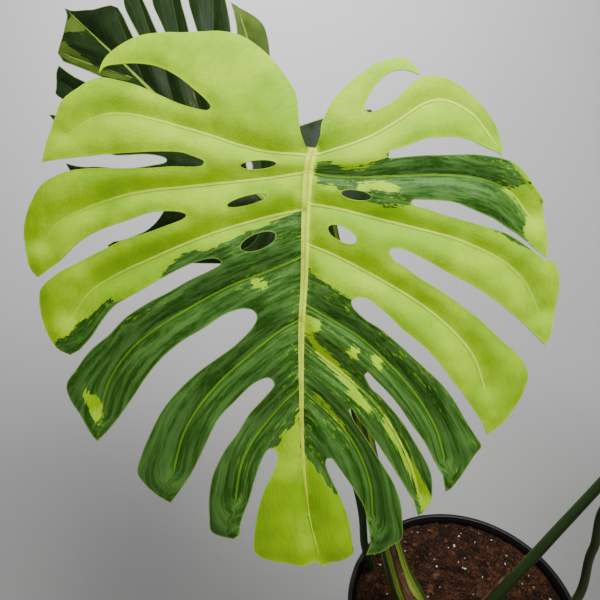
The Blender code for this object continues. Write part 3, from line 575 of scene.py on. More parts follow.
def near_rim(x, y, height):
    """A point low on the plant: rim radii from the pot's axis, and a height from the rim."""
    return above_rim(x * RIM_RADIUS, y * RIM_RADIUS, height)


def smooth_route(points, count):
    """Points at even parameter steps on a Catmull-Rom curve through the given points."""
    ends = [2 * points[0] - points[1], *points, 2 * points[-1] - points[-2]]
    route = []
    spans = len(points) - 1
    for i in range(count):
        at = spans * i / (count - 1)
        span = min(int(at), spans - 1)
        t = at - span
        a, b, c, d = ends[span : span + 4]
        bend = (2 * a - 5 * b + 4 * c - d) * t**2 + (3 * b - a - 3 * c + d) * t**3
        route.append(0.5 * (2 * b + (c - a) * t + bend))
    return route


def value_along(values, share):
    """A short list of values read between its entries, at 0 to 1."""
    return float(np.interp(share, np.linspace(0, 1, len(values)), values))


def frames_along(route):
    """For each point of a route: (point, forward, towards the front, towards the right)."""
    frames = []
    for i, spot in enumerate(route):
        ahead = route[min(i + 1, len(route) - 1)] - route[max(i - 1, 0)]
        forward = ahead.normalized()
        side = forward.cross(Vector((0.0, -1.0, 0.35))).normalized()
        frames.append((spot, forward, side.cross(forward).normalized(), side))
    return frames


def tube_mesh(name, route, radii, sides, swell):
    """A closed tube along a route. swell(along, angle) scales its radius. Its "round" is cos, sin, metres."""
    points, rounds, faces = [], [], []
    run = 0.0
    frames = frames_along(route)
    for i, (spot, _, front, side) in enumerate(frames):
        run += (spot - route[max(i - 1, 0)]).length
        share = i / (len(route) - 1)
        radius = value_along(radii, share)
        for j in range(sides):
            angle = 2 * math.pi * j / sides
            reach = radius * swell(share, angle)
            points.append(spot + reach * (front * math.cos(angle) + side * math.sin(angle)))
            rounds.append((math.cos(angle), math.sin(angle), run))
    for i in range(len(route) - 1):
        for j in range(sides):
            k = (j + 1) % sides
            faces.append((i * sides + j, i * sides + k, (i + 1) * sides + k, (i + 1) * sides + j))
    for end, ring in ((frames[0], 0), (frames[-1], (len(route) - 1) * sides)):
        outward = -end[1] if ring == 0 else end[1]
        radius = value_along(radii, 0.0 if ring == 0 else 1.0)
        points.append(end[0] + outward * 0.45 * radius)
        rounds.append((0.0, 0.0, 0.0 if ring == 0 else run))
        pole = len(points) - 1
        for j in range(sides):
            k = (j + 1) % sides
            faces.append((ring + k, ring + j, pole) if ring == 0 else (ring + j, ring + k, pole))
    mesh = bpy.data.meshes.new(name)
    mesh.from_pydata(points, [], faces)
    marked = mesh.attributes.new("round", "FLOAT_VECTOR", "POINT")
    marked.data.foreach_set("vector", np.array(rounds, np.float32).ravel())
    shape = bmesh.new()
    shape.from_mesh(mesh)
    bmesh.ops.recalc_face_normals(shape, faces=shape.faces)
    shape.to_mesh(mesh)
    shape.free()
    mesh.shade_smooth()
    return mesh


def stem_finish():
    """Corky brown bark over green, with paler scar rings and dark cracks."""
    finish, tree, shader = new_finish("woody_stem")
    place = place_of(tree)
    mottle = noise_of(tree, place, 140.0, 5.0, 0.65)
    cracks = noise_of(tree, stretch_of(tree, place, (260.0, 260.0, 900.0)), 1.0, 4.0, 0.7)
    height = add(tree, "ShaderNodeSeparateXYZ", ("Vector", mark_of(tree, "round", "Vector"))).outputs["Z"]
    stray = sum_of(tree, "MULTIPLY", mottle, 3.0)
    wave = sum_of(tree, "SINE", sum_of(tree, "MULTIPLY_ADD", height, 560.0, stray))
    color = blend_of(tree, step_of(tree, mottle, 0.38, 0.62), (0.060, 0.065, 0.022), (0.115, 0.062, 0.030))
    color = blend_of(tree, step_of(tree, wave, 0.72, 0.98), color, (0.19, 0.135, 0.070))
    color = blend_of(tree, step_of(tree, cracks, 0.60, 0.74), color, (0.026, 0.014, 0.008))
    tree.links.new(color, shader.inputs["Base Color"])
    shader.inputs["Roughness"].default_value = 0.78
    bump_onto(tree, shader, [(wave, 0.0006, 0.6), (cracks, 0.0008, 0.8), (mottle, 0.0010, 0.6)])
    return finish


def stem_swell(share, angle):
    """Leaf scars: raised rings, each a little out of true."""
    rings = 0
    for at in (0.52, 0.66, 0.79, 0.90):
        rings += math.exp(-(((share - at - 0.02 * math.cos(angle + at * 9)) / 0.022) ** 2))
    rough = noise.noise(Vector((math.cos(angle) * 1.6, math.sin(angle) * 1.6, share * 14)))
    return 1.0 + 0.055 * rings + 0.045 * rough


stem_axis = [near_rim(*STEM_PLACE, -SOIL_DROP - 0.060), near_rim(*STEM_PLACE, -SOIL_DROP)]
stem_axis.append(near_rim(STEM_PLACE[0], STEM_PLACE[1] - 0.02, 0.4 * STEM_TOP))
stem_axis.append(near_rim(STEM_PLACE[0] + 0.02, STEM_PLACE[1] - 0.05, STEM_TOP - 0.003))
stem_radii = [STEM_RADIUS * size for size in (0.75, 1.0, 1.04, 0.98, 0.62)]
stem_shape = tube_mesh("stem", smooth_route(stem_axis, 90), stem_radii, 64, stem_swell)
stem = show("stem_stub", stem_shape, stem_finish())
onto_frame(stem, "stem", "stem")


# Roots
# Three aerial roots leave the stem just above the soil and dive into it. They are about as thick as a
# pencil, tan and corky, with fine cracks across.


def beside_stem(angle, height, radius):
    """The end of a stalk or a root against the stem's side, at a compass angle in degrees."""
    out = STEM_RADIUS * 1.05 + radius + 0.0004
    turn = math.radians(angle)
    spot = near_rim(STEM_PLACE[0], STEM_PLACE[1] - 0.01, height)
    return spot + Vector((out * math.cos(turn), out * math.sin(turn), 0.0))


def root_finish():
    """Corky tan skin, mottled, with dark cracks."""
    finish, tree, shader = new_finish("aerial_root")
    place = place_of(tree)
    mottle = noise_of(tree, place, 300.0, 4.0, 0.6)
    cracks = noise_of(tree, stretch_of(tree, mark_of(tree, "round", "Vector"), (1.5, 1.5, 900.0)), 1.0, 3.0)
    color = blend_of(tree, mottle, (0.085, 0.048, 0.024), (0.24, 0.155, 0.085))
    color = blend_of(tree, step_of(tree, cracks, 0.58, 0.70), color, (0.045, 0.024, 0.013))
    tree.links.new(color, shader.inputs["Base Color"])
    shader.inputs["Roughness"].default_value = 0.85
    bump_onto(tree, shader, [(cracks, 0.0004, 0.8), (mottle, 0.0005, 0.6)])
    return finish


def root_swell(share, angle):
    """Knots along a root."""
    return 1.0 + 0.12 * noise.noise(Vector((math.cos(angle), math.sin(angle), share * 16)))


ROOT_TAN = root_finish()
# Each: the compass angle where it leaves the stem, its height there, where it enters the soil, its radius.
ROOTS = [(215, 0.016, (-0.26, -0.62), 0.0036), (285, 0.010, (0.09, -0.66), 0.0031)]
ROOTS.append((350, 0.022, (0.30, -0.50), 0.0034))
for number, (angle, height, plan, radius) in enumerate(ROOTS, start=1):
    start = beside_stem(angle, height, radius)
    heart = near_rim(STEM_PLACE[0], STEM_PLACE[1] - 0.01, height + 0.001)
    end = near_rim(*plan, -SOIL_DROP - 0.018)
    over = start.lerp(end, 0.45)
    over.z = start.z - 0.004
    line = smooth_route([start.lerp(heart, 0.55), start, over, near_rim(*plan, -SOIL_DROP + 0.004), end], 60)
    shape = tube_mesh(f"root_{number}", line, [1.05 * radius, radius, radius, 0.8 * radius], 24, root_swell)
    onto_frame(show(f"aerial_root_{number}", shape, ROOT_TAN), "aerial_root", f"aerial_root_{number}")


# Stalks
# Four smooth, firm leaf stalks. The two thick ones clasp the stem, and the two thin ones are young shoots
# that rise from the soil. Each is grooved on its upper side and ends in a wrinkled knuckle behind its leaf.
# A leaf's sag is how far its sides, tip and base hang; its spread is the point it hangs about and its reach.

LEAF_FRONT = dict(
    name="front",
    joint=above_rim(-0.159, 0.0465, 0.468),
    along=Vector((0.0, -0.525, -0.851)),
    face=Vector((0.0, -0.851, 0.525)),
    sag=(0.034, 0.026, 0.030),
    span=(0.190, 0.290),
    spread=(-0.009, -0.105, 0.43),
)
LEAF_BACK = dict(
    name="back",
    joint=above_rim(-0.192, 0.165, 0.375),
    along=Vector((-0.71, 0.49, 0.508)),
    face=Vector((0.0, -0.851, 0.525)),
    sag=(0.030, 0.030, 0.020),
    span=(0.139, 0.311),
    spread=(0.048, 0.086, 0.60),
)
LEAF_RIGHT = dict(
    name="right",
    joint=above_rim(0.285, 0.120, 0.410),
    along=Vector((0.62, -0.22, -0.75)),
    face=Vector((0.66, -0.30, 0.69)),
    sag=(0.040, 0.040, 0.025),
    span=(0.165, 0.285),
    spread=(0.0, -0.10, 0.50),
)
LEAF_CORNER = dict(
    name="corner",
    joint=above_rim(0.215, -0.170, 0.225),
    along=Vector((0.50, -0.66, -0.56)),
    face=Vector((0.35, -0.45, 0.82)),
    sag=(0.028, 0.030, 0.018),
    span=(0.125, 0.215),
    spread=(0.0, -0.08, 0.50),
)


def leaf_matrix(leaf):
    """Leaf axes: X to the leaf's right, Y from its tip back over the joint, Z out of its upper face."""
    up = -leaf["along"].normalized()
    right = up.cross(leaf["face"]).normalized()
    turn = Matrix((right, up, right.cross(up))).transposed().to_4x4()
    return Matrix.Translation(leaf["joint"]) @ turn


def stalk_end(leaf, radius):
    """The stalk's last points: it comes square to the blade's back and ends inside its middle rib."""
    place = leaf_matrix(leaf)
    return [place @ Vector((0.0, -0.004, -0.002 - 5 * radius)), place @ Vector((0.0, -0.0075, -0.0022))]


def stalk_finish(name, bands, streaky=0.05):
    """Waxy skin in bands along the stalk, set by angle. The bands are the stalk's own stripes, except on the
    right stalk, where an olive band is painted highlight. Each band is (degrees from the front, colour).
    """
    finish, tree, shader = new_finish(name)
    around = mark_of(tree, "round", "Vector")
    parts = add(tree, "ShaderNodeSeparateXYZ", ("Vector", around)).outputs
    turn = sum_of(tree, "ARCTAN2", parts["Y"], parts["X"])
    angle = sum_of(tree, "MULTIPLY_ADD", turn, 1 / (2 * math.pi), 0.5)
    lengths = noise_of(tree, stretch_of(tree, around, (2.2, 2.2, 14.0)), 1.0, 3.0)
    fine = noise_of(tree, stretch_of(tree, around, (16.0, 16.0, 30.0)), 1.0, 4.0, 0.65)
    specks = noise_of(tree, place_of(tree), 700.0, 3.0, 0.6)
    wander = sum_of(tree, "MULTIPLY_ADD", lengths, 2 * streaky, -streaky)
    wander = sum_of(tree, "ADD", wander, sum_of(tree, "MULTIPLY_ADD", fine, streaky, -streaky / 2))
    ramp = add(tree, "ShaderNodeValToRGB", ("Fac", sum_of(tree, "ADD", angle, wander)))
    steps = ramp.color_ramp
    steps.elements[0].position, steps.elements[1].position = 0.0, 1.0
    steps.elements[0].color = steps.elements[1].color = (*bands[0][1], 1.0)
    for degrees, color in bands:
        steps.elements.new(degrees / 360 + 0.5).color = (*color, 1.0)
    worn = sum_of(tree, "MULTIPLY", step_of(tree, fine, 0.50, 0.68), 0.45)
    color = blend_of(tree, worn, ramp.outputs[0], (0.022, 0.048, 0.012))
    corky = sum_of(tree, "MULTIPLY", step_of(tree, specks, 0.66, 0.74), 0.35)
    color = blend_of(tree, corky, color, (0.20, 0.20, 0.13))
    tree.links.new(color, shader.inputs["Base Color"])
    rough = sum_of(tree, "MULTIPLY_ADD", specks, 0.25, 0.36)
    tree.links.new(rough, shader.inputs["Roughness"])
    shader.inputs["Specular IOR Level"].default_value = 0.14
    bump_onto(tree, shader, [(fine, 0.00035, 0.5), (specks, 0.00018, 0.4)])
    return finish


def stalk_piece(leaf, low, radii, count, sides, finish):
    """A stalk from its low points to its leaf. It gives the route, for a sheath to follow."""
    route = smooth_route([*low, *stalk_end(leaf, radii[-1])], count)

    def swell(share, angle):
        groove = 0.10 * math.exp(-(((angle - math.pi) / 0.35) ** 2)) * min(1.0, 4 * share)
        knuckle = 0.14 * math.exp(-(((share - 0.93) / 0.035) ** 2))
        collar = 0.05 * math.exp(-(((share - 0.86) / 0.012) ** 2))
        wrinkle = 0.022 * math.sin(share * 520) * math.exp(-(((share - 0.93) / 0.03) ** 2))
        clasp = 0.10 * math.exp(-((share / 0.04) ** 2))
        lumps = 0.035 * noise.noise(Vector((math.cos(angle), math.sin(angle), share * 11)))
        return 1.0 - groove + knuckle + collar + wrinkle + clasp + lumps

    name = "stalk_" + leaf["name"]
    piece = show(name + "_skin", tube_mesh(name, route, radii, sides, swell), finish)
    onto_frame(piece, name, name)
    return route


OLIVE = (0.110, 0.150, 0.018)
LIME = (0.30, 0.40, 0.045)
DEEP = (0.022, 0.058, 0.008)
MOSS = (0.055, 0.100, 0.018)

FRONT_STRIPES = [(-150, DEEP), (-96, MOSS), (-78, (0.26, 0.32, 0.08)), (-68, DEEP), (-38, DEEP), (-33, OLIVE)]
FRONT_STRIPES += [(-28, LIME), (-22, OLIVE), (-17, LIME), (-9, OLIVE), (0, MOSS), (22, MOSS), (26, LIME)]
FRONT_STRIPES += [(40, LIME), (44, DEEP), (48, LIME), (60, OLIVE), (68, DEEP), (84, MOSS), (92, OLIVE)]
FRONT_STRIPES += [(110, DEEP), (150, MOSS)]
FRONT_RADII = [0.0130, 0.0146, 0.0100, 0.0074, 0.0060, 0.0055]
front_low = [beside_stem(150, -0.006, FRONT_RADII[0]), near_rim(-0.485, -0.10, 0.030)]
front_low += [near_rim(-0.635, 0.11, 0.065), above_rim(-0.107, 0.050, 0.190), above_rim(-0.140, 0.098, 0.370)]
front_skin = stalk_finish("front_stalk_skin", FRONT_STRIPES, 0.022)
front_route = stalk_piece(LEAF_FRONT, front_low, FRONT_RADII, 340, 48, front_skin)

BACK_STRIPES = [(-140, DEEP), (-60, (0.026, 0.045, 0.022)), (-10, (0.036, 0.056, 0.026))]
BACK_STRIPES += [(40, DEEP), (80, MOSS), (130, DEEP)]
BACK_RADII = [0.0042, 0.0042, 0.0040, 0.0036, 0.0034]
back_low = [near_rim(-0.715, 0.405, -SOIL_DROP - 0.040), near_rim(-0.745, 0.425, -SOIL_DROP)]
back_low += [near_rim(-0.835, 0.450, 0.030), above_rim(-0.108, 0.064, 0.100), above_rim(-0.150, 0.130, 0.230)]
back_skin = stalk_finish("back_stalk_skin", BACK_STRIPES)
stalk_piece(LEAF_BACK, back_low, BACK_RADII, 260, 32, back_skin)

# Dark green, with an olive band towards the right side that is painted highlight on the stalk's lit side.
RIGHT_BANDS_AND_HIGHLIGHT = [(-150, DEEP), (-88, DEEP), (-60, (0.022, 0.040, 0.012)), (0, (0.020, 0.038, 0.010))]
RIGHT_BANDS_AND_HIGHLIGHT += [(22, (0.018, 0.034, 0.008)), (28, MOSS), (44, (0.11, 0.14, 0.030)), (60, OLIVE)]
RIGHT_BANDS_AND_HIGHLIGHT += [(74, MOSS), (120, DEEP), (160, DEEP)]
RIGHT_RADII = [0.0078, 0.0056, 0.0046, 0.0041, 0.0037]
right_low = [beside_stem(75, -0.004, RIGHT_RADII[0]), near_rim(0.185, -0.080, 0.020)]
right_low += [above_rim(0.075, 0.014, 0.088), above_rim(0.162, 0.055, 0.200), above_rim(0.235, 0.100, 0.320)]
right_skin = stalk_finish("right_stalk_skin", RIGHT_BANDS_AND_HIGHLIGHT, 0.03)
right_route = stalk_piece(LEAF_RIGHT, right_low, RIGHT_RADII, 300, 36, right_skin)

CORNER_STRIPES = [(-150, MOSS), (-70, (0.045, 0.065, 0.030)), (0, (0.060, 0.080, 0.036))]
CORNER_STRIPES += [(50, OLIVE), (90, MOSS), (140, DEEP)]
CORNER_RADII = [0.0045, 0.0043, 0.0040, 0.0036, 0.0033]
corner_low = [near_rim(0.555, -0.305, -SOIL_DROP - 0.040), near_rim(0.590, -0.290, -SOIL_DROP)]
corner_low += [near_rim(0.880, -0.140, 0.044)]
corner_low += [above_rim(0.103, -0.012, 0.110), above_rim(0.106, -0.030, 0.195)]
corner_skin = stalk_finish("corner_stalk_skin", CORNER_STRIPES, 0.04)
stalk_piece(LEAF_CORNER, corner_low, CORNER_RADII, 260, 32, corner_skin)


# Dried sheaths
# The dead wings that once wrapped each new leaf. They are papery, red-brown and ribbed, stuck to the front
# of the two thick stalks, with ragged edges that lift a little.


def sheath_finish():
    """Papery brown with darker ribs, bleached in some blotches and darkened in others."""
    finish, tree, shader = new_finish("dried_sheath")
    around = mark_of(tree, "round", "Vector")
    ribs = noise_of(tree, stretch_of(tree, around, (26.0, 26.0, 22.0)), 1.0, 4.0, 0.6)
    blotch = noise_of(tree, place_of(tree), 110.0, 4.0)
    color = blend_of(tree, step_of(tree, ribs, 0.35, 0.65), (0.048, 0.016, 0.009), (0.20, 0.078, 0.034))
    color = blend_of(tree, step_of(tree, blotch, 0.54, 0.74), color, (0.25, 0.15, 0.072))
    color = blend_of(tree, step_of(tree, blotch, 0.42, 0.30), color, (0.034, 0.013, 0.008))
    tree.links.new(color, shader.inputs["Base Color"])
    shader.inputs["Roughness"].default_value = 0.62
    bump_onto(tree, shader, [(ribs, 0.0007, 0.8), (blotch, 0.0008, 0.4)])
    return finish


def sheath_mesh(name, route, radii, span, arc, turn, wide_part, seed):
    """A thin wrinkled shell against a stalk, with a ragged outline and both faces."""
    first, last = span
    count, sides = 150, 18
    points, rounds = [], []
    frames = frames_along(route)
    for i in range(count + 1):
        t = i / count
        at = (first + (last - first) * t) * (len(route) - 1)
        low = min(int(at), len(route) - 2)
        spot = route[low].lerp(route[low + 1], at - low)
        _, _, front, side = frames[low]
        radius = value_along(radii, first + (last - first) * t)
        taper = (0.16 + 0.84 * math.exp(-((t / wide_part) ** 2))) * (1.0 - t**12) + 0.02
        ring = []
        for j in range(sides + 1):
            across = 2 * j / sides - 1
            ragged = 1 + 0.20 * noise.noise(Vector((across * 2, t * 26, seed))) * abs(across)
            angle = math.radians(turn) + math.radians(arc) / 2 * taper * across * ragged
            lift = 0.0011 * abs(across) ** 5 * (1 + 2.0 * noise.noise(Vector((across, t * 12, seed + 3))))
            fold = 0.0006 * noise.noise(Vector((angle * 7, t * 9, seed + 8)))
            reach = radius * 1.02 + 0.0008 + max(lift, 0.0) + fold
            ring.append((angle, reach))
        for layer in (0.0, 0.0007):
            order = ring if layer == 0.0 else ring[::-1]
            for angle, reach in order:
                points.append(spot + (reach + layer) * (front * math.cos(angle) + side * math.sin(angle)))
                rounds.append((math.cos(angle), math.sin(angle), t * 0.2))
    around = 2 * (sides + 1)
    faces = []
    for i in range(count):
        for j in range(around):
            k, low, high = (j + 1) % around, i * around, (i + 1) * around
            faces.append((low + j, low + k, high + k, high + j))
    for ring in (0, count * around):
        for j in range(sides):
            faces.append((ring + j, ring + j + 1, ring + around - 2 - j, ring + around - 1 - j))
    mesh = bpy.data.meshes.new(name)
    mesh.from_pydata(points, [], faces)
    marked = mesh.attributes.new("round", "FLOAT_VECTOR", "POINT")
    marked.data.foreach_set("vector", np.array(rounds, np.float32).ravel())
    shape = bmesh.new()
    shape.from_mesh(mesh)
    bmesh.ops.recalc_face_normals(shape, faces=shape.faces)
    shape.to_mesh(mesh)
    shape.free()
    mesh.shade_smooth()
    mesh.set_sharp_from_angle(angle=math.radians(60))
    return mesh


SHEATH_BROWN = sheath_finish()
front_sheath = sheath_mesh("front_sheath", front_route, FRONT_RADII, (0.10, 0.46), 118, 10, 0.17, 2.0)
onto_frame(show("front_dried_sheath", front_sheath, SHEATH_BROWN), "dried_sheath_front", "dried_sheath_front")
right_sheath = sheath_mesh("right_sheath", right_route, RIGHT_RADII, (0.10, 0.26), 90, -88, 0.30, 6.0)
onto_frame(show("right_dried_sheath", right_sheath, SHEATH_BROWN), "dried_sheath_right", "dried_sheath_right")

# Leaves
# Four blades of leathery skin under a millimetre thick. Each is split in lobes, sunk along its side veins,
# arched between them and stiffened by a thick middle rib that its stalk carries from behind.

FRONT_LEFT_RUNS = [
    "-5,3 -9,14 -11,35 -16,46 -30,64 -48,78 -65,82 -90,81 -114,80 -130,75 -142,67 -147,60 -149,53",
    "-146,57 -141,59 -128,60 -114,59 -104,56 -93,50 -83,42 -75,35 -71,30 -73,27.5 -79,28 -93,32 -107,38 "
    "-121,44 -135,48 -147,50 -155,48 -163,43 -174,34 -180,21 -185,6 -188,-9",
    "-177,-7 -160,-5 -139,-3 -114,-2 -94,-2 -83,-5 -76,-8 -77,-11 -83,-12 -97,-12 -114,-13 -135,-13 "
    "-153,-13 -169,-15 -181,-20 -190,-27 -197,-40 -201,-55 -200,-70 -196,-83 -191,-89",
    "-183,-83 -174,-76 -162,-64 -146,-55 -128,-49 -113,-44 -100,-43 -91,-44 -88,-46 -91,-49 -104,-54 "
    "-115,-58 -132,-63 -149,-71 -164,-79 -178,-87 -188,-96 -190,-104 -188,-118 -183,-131 -177,-139 -169,-143",
    "-163,-140 -154,-130 -146,-118 -137,-108 -121,-99 -104,-89 -86,-80 -72,-76 -65,-77 -64,-80 -73,-85 "
    "-86,-91 -100,-99 -115,-107 -130,-117 -142,-129 -155,-140 -164,-152 -171,-163 -169,-173 -162,-185 "
    "-156,-196 -150,-203",
    "-144,-197 -135,-186 -125,-172 -115,-157 -105,-145 -92,-134 -77,-125 -62,-115 -50,-111 -42,-112 "
    "-39,-117 -43,-125 -55,-137 -66,-145 -80,-155 -93,-167 -105,-182 -114,-200 -120,-215 -122,-225 "
    "-117,-233 -108,-241 -99,-246",
    "-93,-238 -84,-224 -76,-208 -70,-195 -64,-185 -55,-176 -44,-165 -36,-160 -30,-159 -27,-164 -33,-172 "
    "-44,-184 -52,-197 -61,-209 -69,-225 -72,-241 -72,-255 -71,-265 -64,-269 -55,-271",
    "-51,-268 -50,-259 -45,-245 -41,-231 -37,-219 -33,-211 -29,-208 -25,-211 -25,-217 -29,-227 -35,-240 "
    "-39,-255 -41,-271 -40,-281 -29,-286 -17,-288 -7,-290 2,-288 7,-291",
]
FRONT_RIGHT_RUNS = [
    "2,2 5,10 6,18 9,25 13,33 19,40 26,47 34,53 43,59 52,62 59,64 66,62 71,58 74,52",
    "71,53 66,55 61,55 55,54 49,50 43,44 39,37 36,31 37,27 40,26 43,27 50,30 58,35 64,41 70,47 75,50 "
    "82,51 88,51 96,48 105,43 113,36 121,27 127,18 131,8 132,2 131,-4",
    "127,-1 120,2 111,6 101,8.5 89,8.5 78,7 69,4 61,1 54,-1 51,-4 53,-6 57,-6 66,-5 82,-4 99,-3.5 "
    "113,-3.5 125,-5 134,-7 141,-10 148,-17 155,-27 160,-36 162,-52 163,-68 162,-75",
    "153,-68 145,-61 136,-55 125,-48 113,-43 101,-38 92,-36 78,-35 70,-35 68,-37 71,-39 78,-41 89,-45 "
    "103,-49 117,-53 131,-57 141,-62 152,-70 161,-77 165,-77 169,-81 171,-88 171,-98 169,-112 166,-127 "
    "161,-136",
    "154,-129 145,-120 134,-111 124,-103 110,-94 96,-87 82,-79 69,-72 61,-69 55,-69 53,-71 54,-74 57,-78 "
    "64,-82 75,-90 90,-99 104,-109 117,-119 129,-131 139,-140 146,-148 149,-157 148,-162 145,-171 139,-181 "
    "133,-189 126,-195 121,-198",
    "118,-190 112,-181 105,-171 97,-161 89,-150 80,-140 71,-132 62,-125 54,-117 45,-109 38,-104 31,-103 "
    "27,-105 28,-110 36,-118 47,-125 59,-135 71,-146 82,-156 91,-165 99,-176 106,-188 113,-199 117,-206 "
    "113,-212 108,-220 102,-229 97,-235 92,-238",
    "90,-226 85,-217 78,-204 69,-192 61,-180 52,-169 43,-160 38,-155 36,-157 37,-160 41,-167 47,-172 "
    "55,-181 63,-191 71,-204 78,-216 82,-226 83,-236 82,-245 78,-251 73,-255",
    "70,-244 62,-231 53,-217 43,-202 36,-193 30,-185 27,-180 25,-181 26,-184 29,-190 36,-200 43,-211 "
    "50,-222 57,-234 61,-247 62,-259 62,-270 55,-275 47,-280 37,-282",
    "40,-275 39,-264 36,-250 30,-239 22,-227 17,-220 13,-215 10,-215 9,-220 13,-230 19,-242 25,-258 "
    "27,-272 28,-281 20,-286 12,-288",
]
FRONT_VEINS = {
    -1: [
        "0,-3 -30,-1 -51,4 -72,11 -93,17 -121,24 -139,26 -155,22 -172,11",
        "-4,-15 -30,-19 -58,-22 -86,-25 -114,-28 -135,-32 -156,-39 -177,-50 -188,-64",
        "-5,-41 -30,-46 -58,-54 -86,-64 -114,-76 -138,-87 -156,-99 -168,-116",
        "-6,-74 -30,-84 -58,-95 -86,-110 -110,-125 -128,-140 -142,-160 -149,-182",
        "-8,-118 -24,-127 -44,-143 -64,-161 -80,-180 -91,-200 -97,-222",
        "-8,-165 -20,-176 -32,-190 -42,-203 -50,-220 -54,-242",
    ],
    1: [
        "0,-3 19,2 40,10 61,22 78,33 94,35 112,25 124,10",
        "-3,-15 12,-18 33,-19 61,-18 89,-17 117,-20 138,-29 152,-46",
        "-4,-37 19,-41 47,-48 75,-55 103,-63 131,-76 148,-92 158,-112",
        "-5,-65 19,-75 47,-90 75,-107 96,-124 112,-143 120,-165",
        "-7,-107 12,-118 33,-131 54,-150 73,-172 86,-194 92,-215",
        "-7,-134 7,-145 26,-160 44,-178 58,-198 68,-219 74,-240",
        "-8,-167 7,-180 20,-193 32,-211 40,-233 42,-256",
    ],
}
FRONT_RIB = "0,0 -3,-14 -5,-49 -6,-90 -8,-126 -8,-175 -7,-210 -5,-235 -2,-259 4,-282"
FRONT_HOLES = [
    (-38, -10.5, 12.5, 3.2, 4),
    (-45.5, -35.5, 14.5, 3.3, 15),
    (-38, -64, 13, 5.6, 22),
    (30, -32, 10.5, 3.5, -9),
    (20.5, -59, 11, 5, -28),
]
# The dark green patches on the lime blade
FRONT_PATCHES = [
    "-6,-41 -10,-43 -23,-48 -36,-54 -44,-56 -51,-60 -65,-66 -72,-70 -86,-71 -97,-79 -107,-90 -112,-96 "
    "-175,-160 -175,-215 -130,-260 -90,-275 -72,-275 -52,-270 -40,-230 -29,-209 -24,-205 -20,-196 -14,-192 "
    "-10,-178 -8,-175 -8,-126 -6,-90 -5,-49",
    "-126,-103 -141,-105 -146,-108 -156,-118 -163,-120 -170,-130 -177,-133 -178,-141 -168,-148 "
    "-150,-130 -135,-110",
    "3,-8 12,-9 19,-12.6 27,-14 36,-12.6 43,-9 53,-5.6 60,-3 80,1 100,2 120,-1.5 134,-6 141,-13 147,-21 "
    "151,-24 136,-26 131,-23 136,-30 141,-33 147,-42 150,-50 145,-56 153,-68 150,-70 130,-58 110,-46 90,-39 "
    "70,-37 68,-39 50,-38.5 41,-37 33,-35 22,-32 18,-28 12,-23.5 5,-25 2,-17",
    "-6,-80 6,-91 15,-98 26,-105 30,-104 45,-112 62,-128 80,-145 97,-165 112,-185 121,-200 125,-210 "
    "100,-245 75,-270 50,-290 30,-285 25,-245 15,-239 5,-227 -5,-213 -7,-203 -8,-170 -7,-120 -6,-90",
]
# Islands of lime inside the dark patches
FRONT_ISLANDS = [
    "29,-22 45,-21 61,-26 58,-31 44,-29 32,-30",
    "-8,-115 6,-118 4,-127 -7,-130",
    "22,-137 33,-138 31,-146 24,-145",
    "40,-141 50,-146 47,-154 41,-150",
    "-44,-88 -30,-90 -33,-97 -43,-96",
    "-160,-165 -150,-172 -147,-184 -151,-191 -158,-182",
    "-7,-124 10,-140 28,-160 42,-182 36,-180 18,-160 2,-142",
    "22,-169 35,-169 37,-176 44,-187 38,-184 28,-175",
    "46,-180 55,-191 63,-203 70,-217 77,-231 84,-246 76,-252 71,-236 64,-222 56,-205 48,-190",
    "-7,-159 8,-174 27,-197 20,-194 6,-178",
]

BACK_LEFT_RUNS = [
    "-5,3 -14,28 -30,48 -48,58 -66,60 -90,54 -112,38 -126,18 -129,-2",
    "-112,-14 -92,-27 -74,-37 -58,-46 -46,-53 -42,-58 -46,-65 -60,-72 -80,-88 -103,-111 -118,-132 "
    "-122,-145 -121,-162 -116,-180",
    "-112,-172 -103,-158 -93,-146 -80,-130 -66,-115 -58,-108 -55,-109 -57,-115 -68,-127 -84,-144 "
    "-98,-161 -109,-177 -118,-192 -124,-205 -122,-216",
    "-108,-220 -95,-220 -87,-210 -79,-195 -70,-178 -60,-161 -50,-147 -44,-141 -41,-142 -43,-149 "
    "-53,-166 -64,-184 -74,-201 -83,-218 -92,-233 -98,-245 -95,-254",
    "-84,-257 -73,-252 -66,-244 -61,-235 -55,-218 -48,-200 -41,-184 -35,-172 -31,-170 -31,-176 "
    "-37,-190 -43,-207 -50,-226 -57,-244 -62,-259 -65,-272",
    "-56,-274 -47,-267 -41,-257 -37,-246 -32,-229 -27,-212 -23,-202 -20,-200 -19,-206 -24,-223 "
    "-29,-239 -34,-253 -37,-264",
    "-34,-272 -19,-283 -10,-294 -3,-305",
]
BACK_RIGHT_RUNS = [
    "5,4 20,22 38,30 56,22 73,2 92,-20 114,-46 134,-71 139,-86 138,-97",
    "131,-95 123,-89 111,-82 100,-77 88,-75 77,-76 71,-79 73,-84 86,-97 99,-115 109,-136 115,-160 "
    "114,-176 111,-188",
    "106,-180 100,-171 92,-161 80,-145 66,-129 52,-117 43,-110 39,-110 40,-116 49,-130 62,-144 "
    "71,-154 77,-168 83,-186 88,-205 90,-222 88,-237",
    "82,-229 73,-217 60,-200 46,-181 35,-166 31,-162 31,-168 41,-182 53,-198 62,-215 66,-230 "
    "69,-246 65,-252 60,-258 53,-264 46,-267",
    "45,-255 43,-244 39,-230 33,-214 27,-200 21,-190 18,-189 19,-196 22,-210 26,-228 33,-249 40,-268",
    "38,-278 23,-286 12,-295 4,-304 0,-311",
]
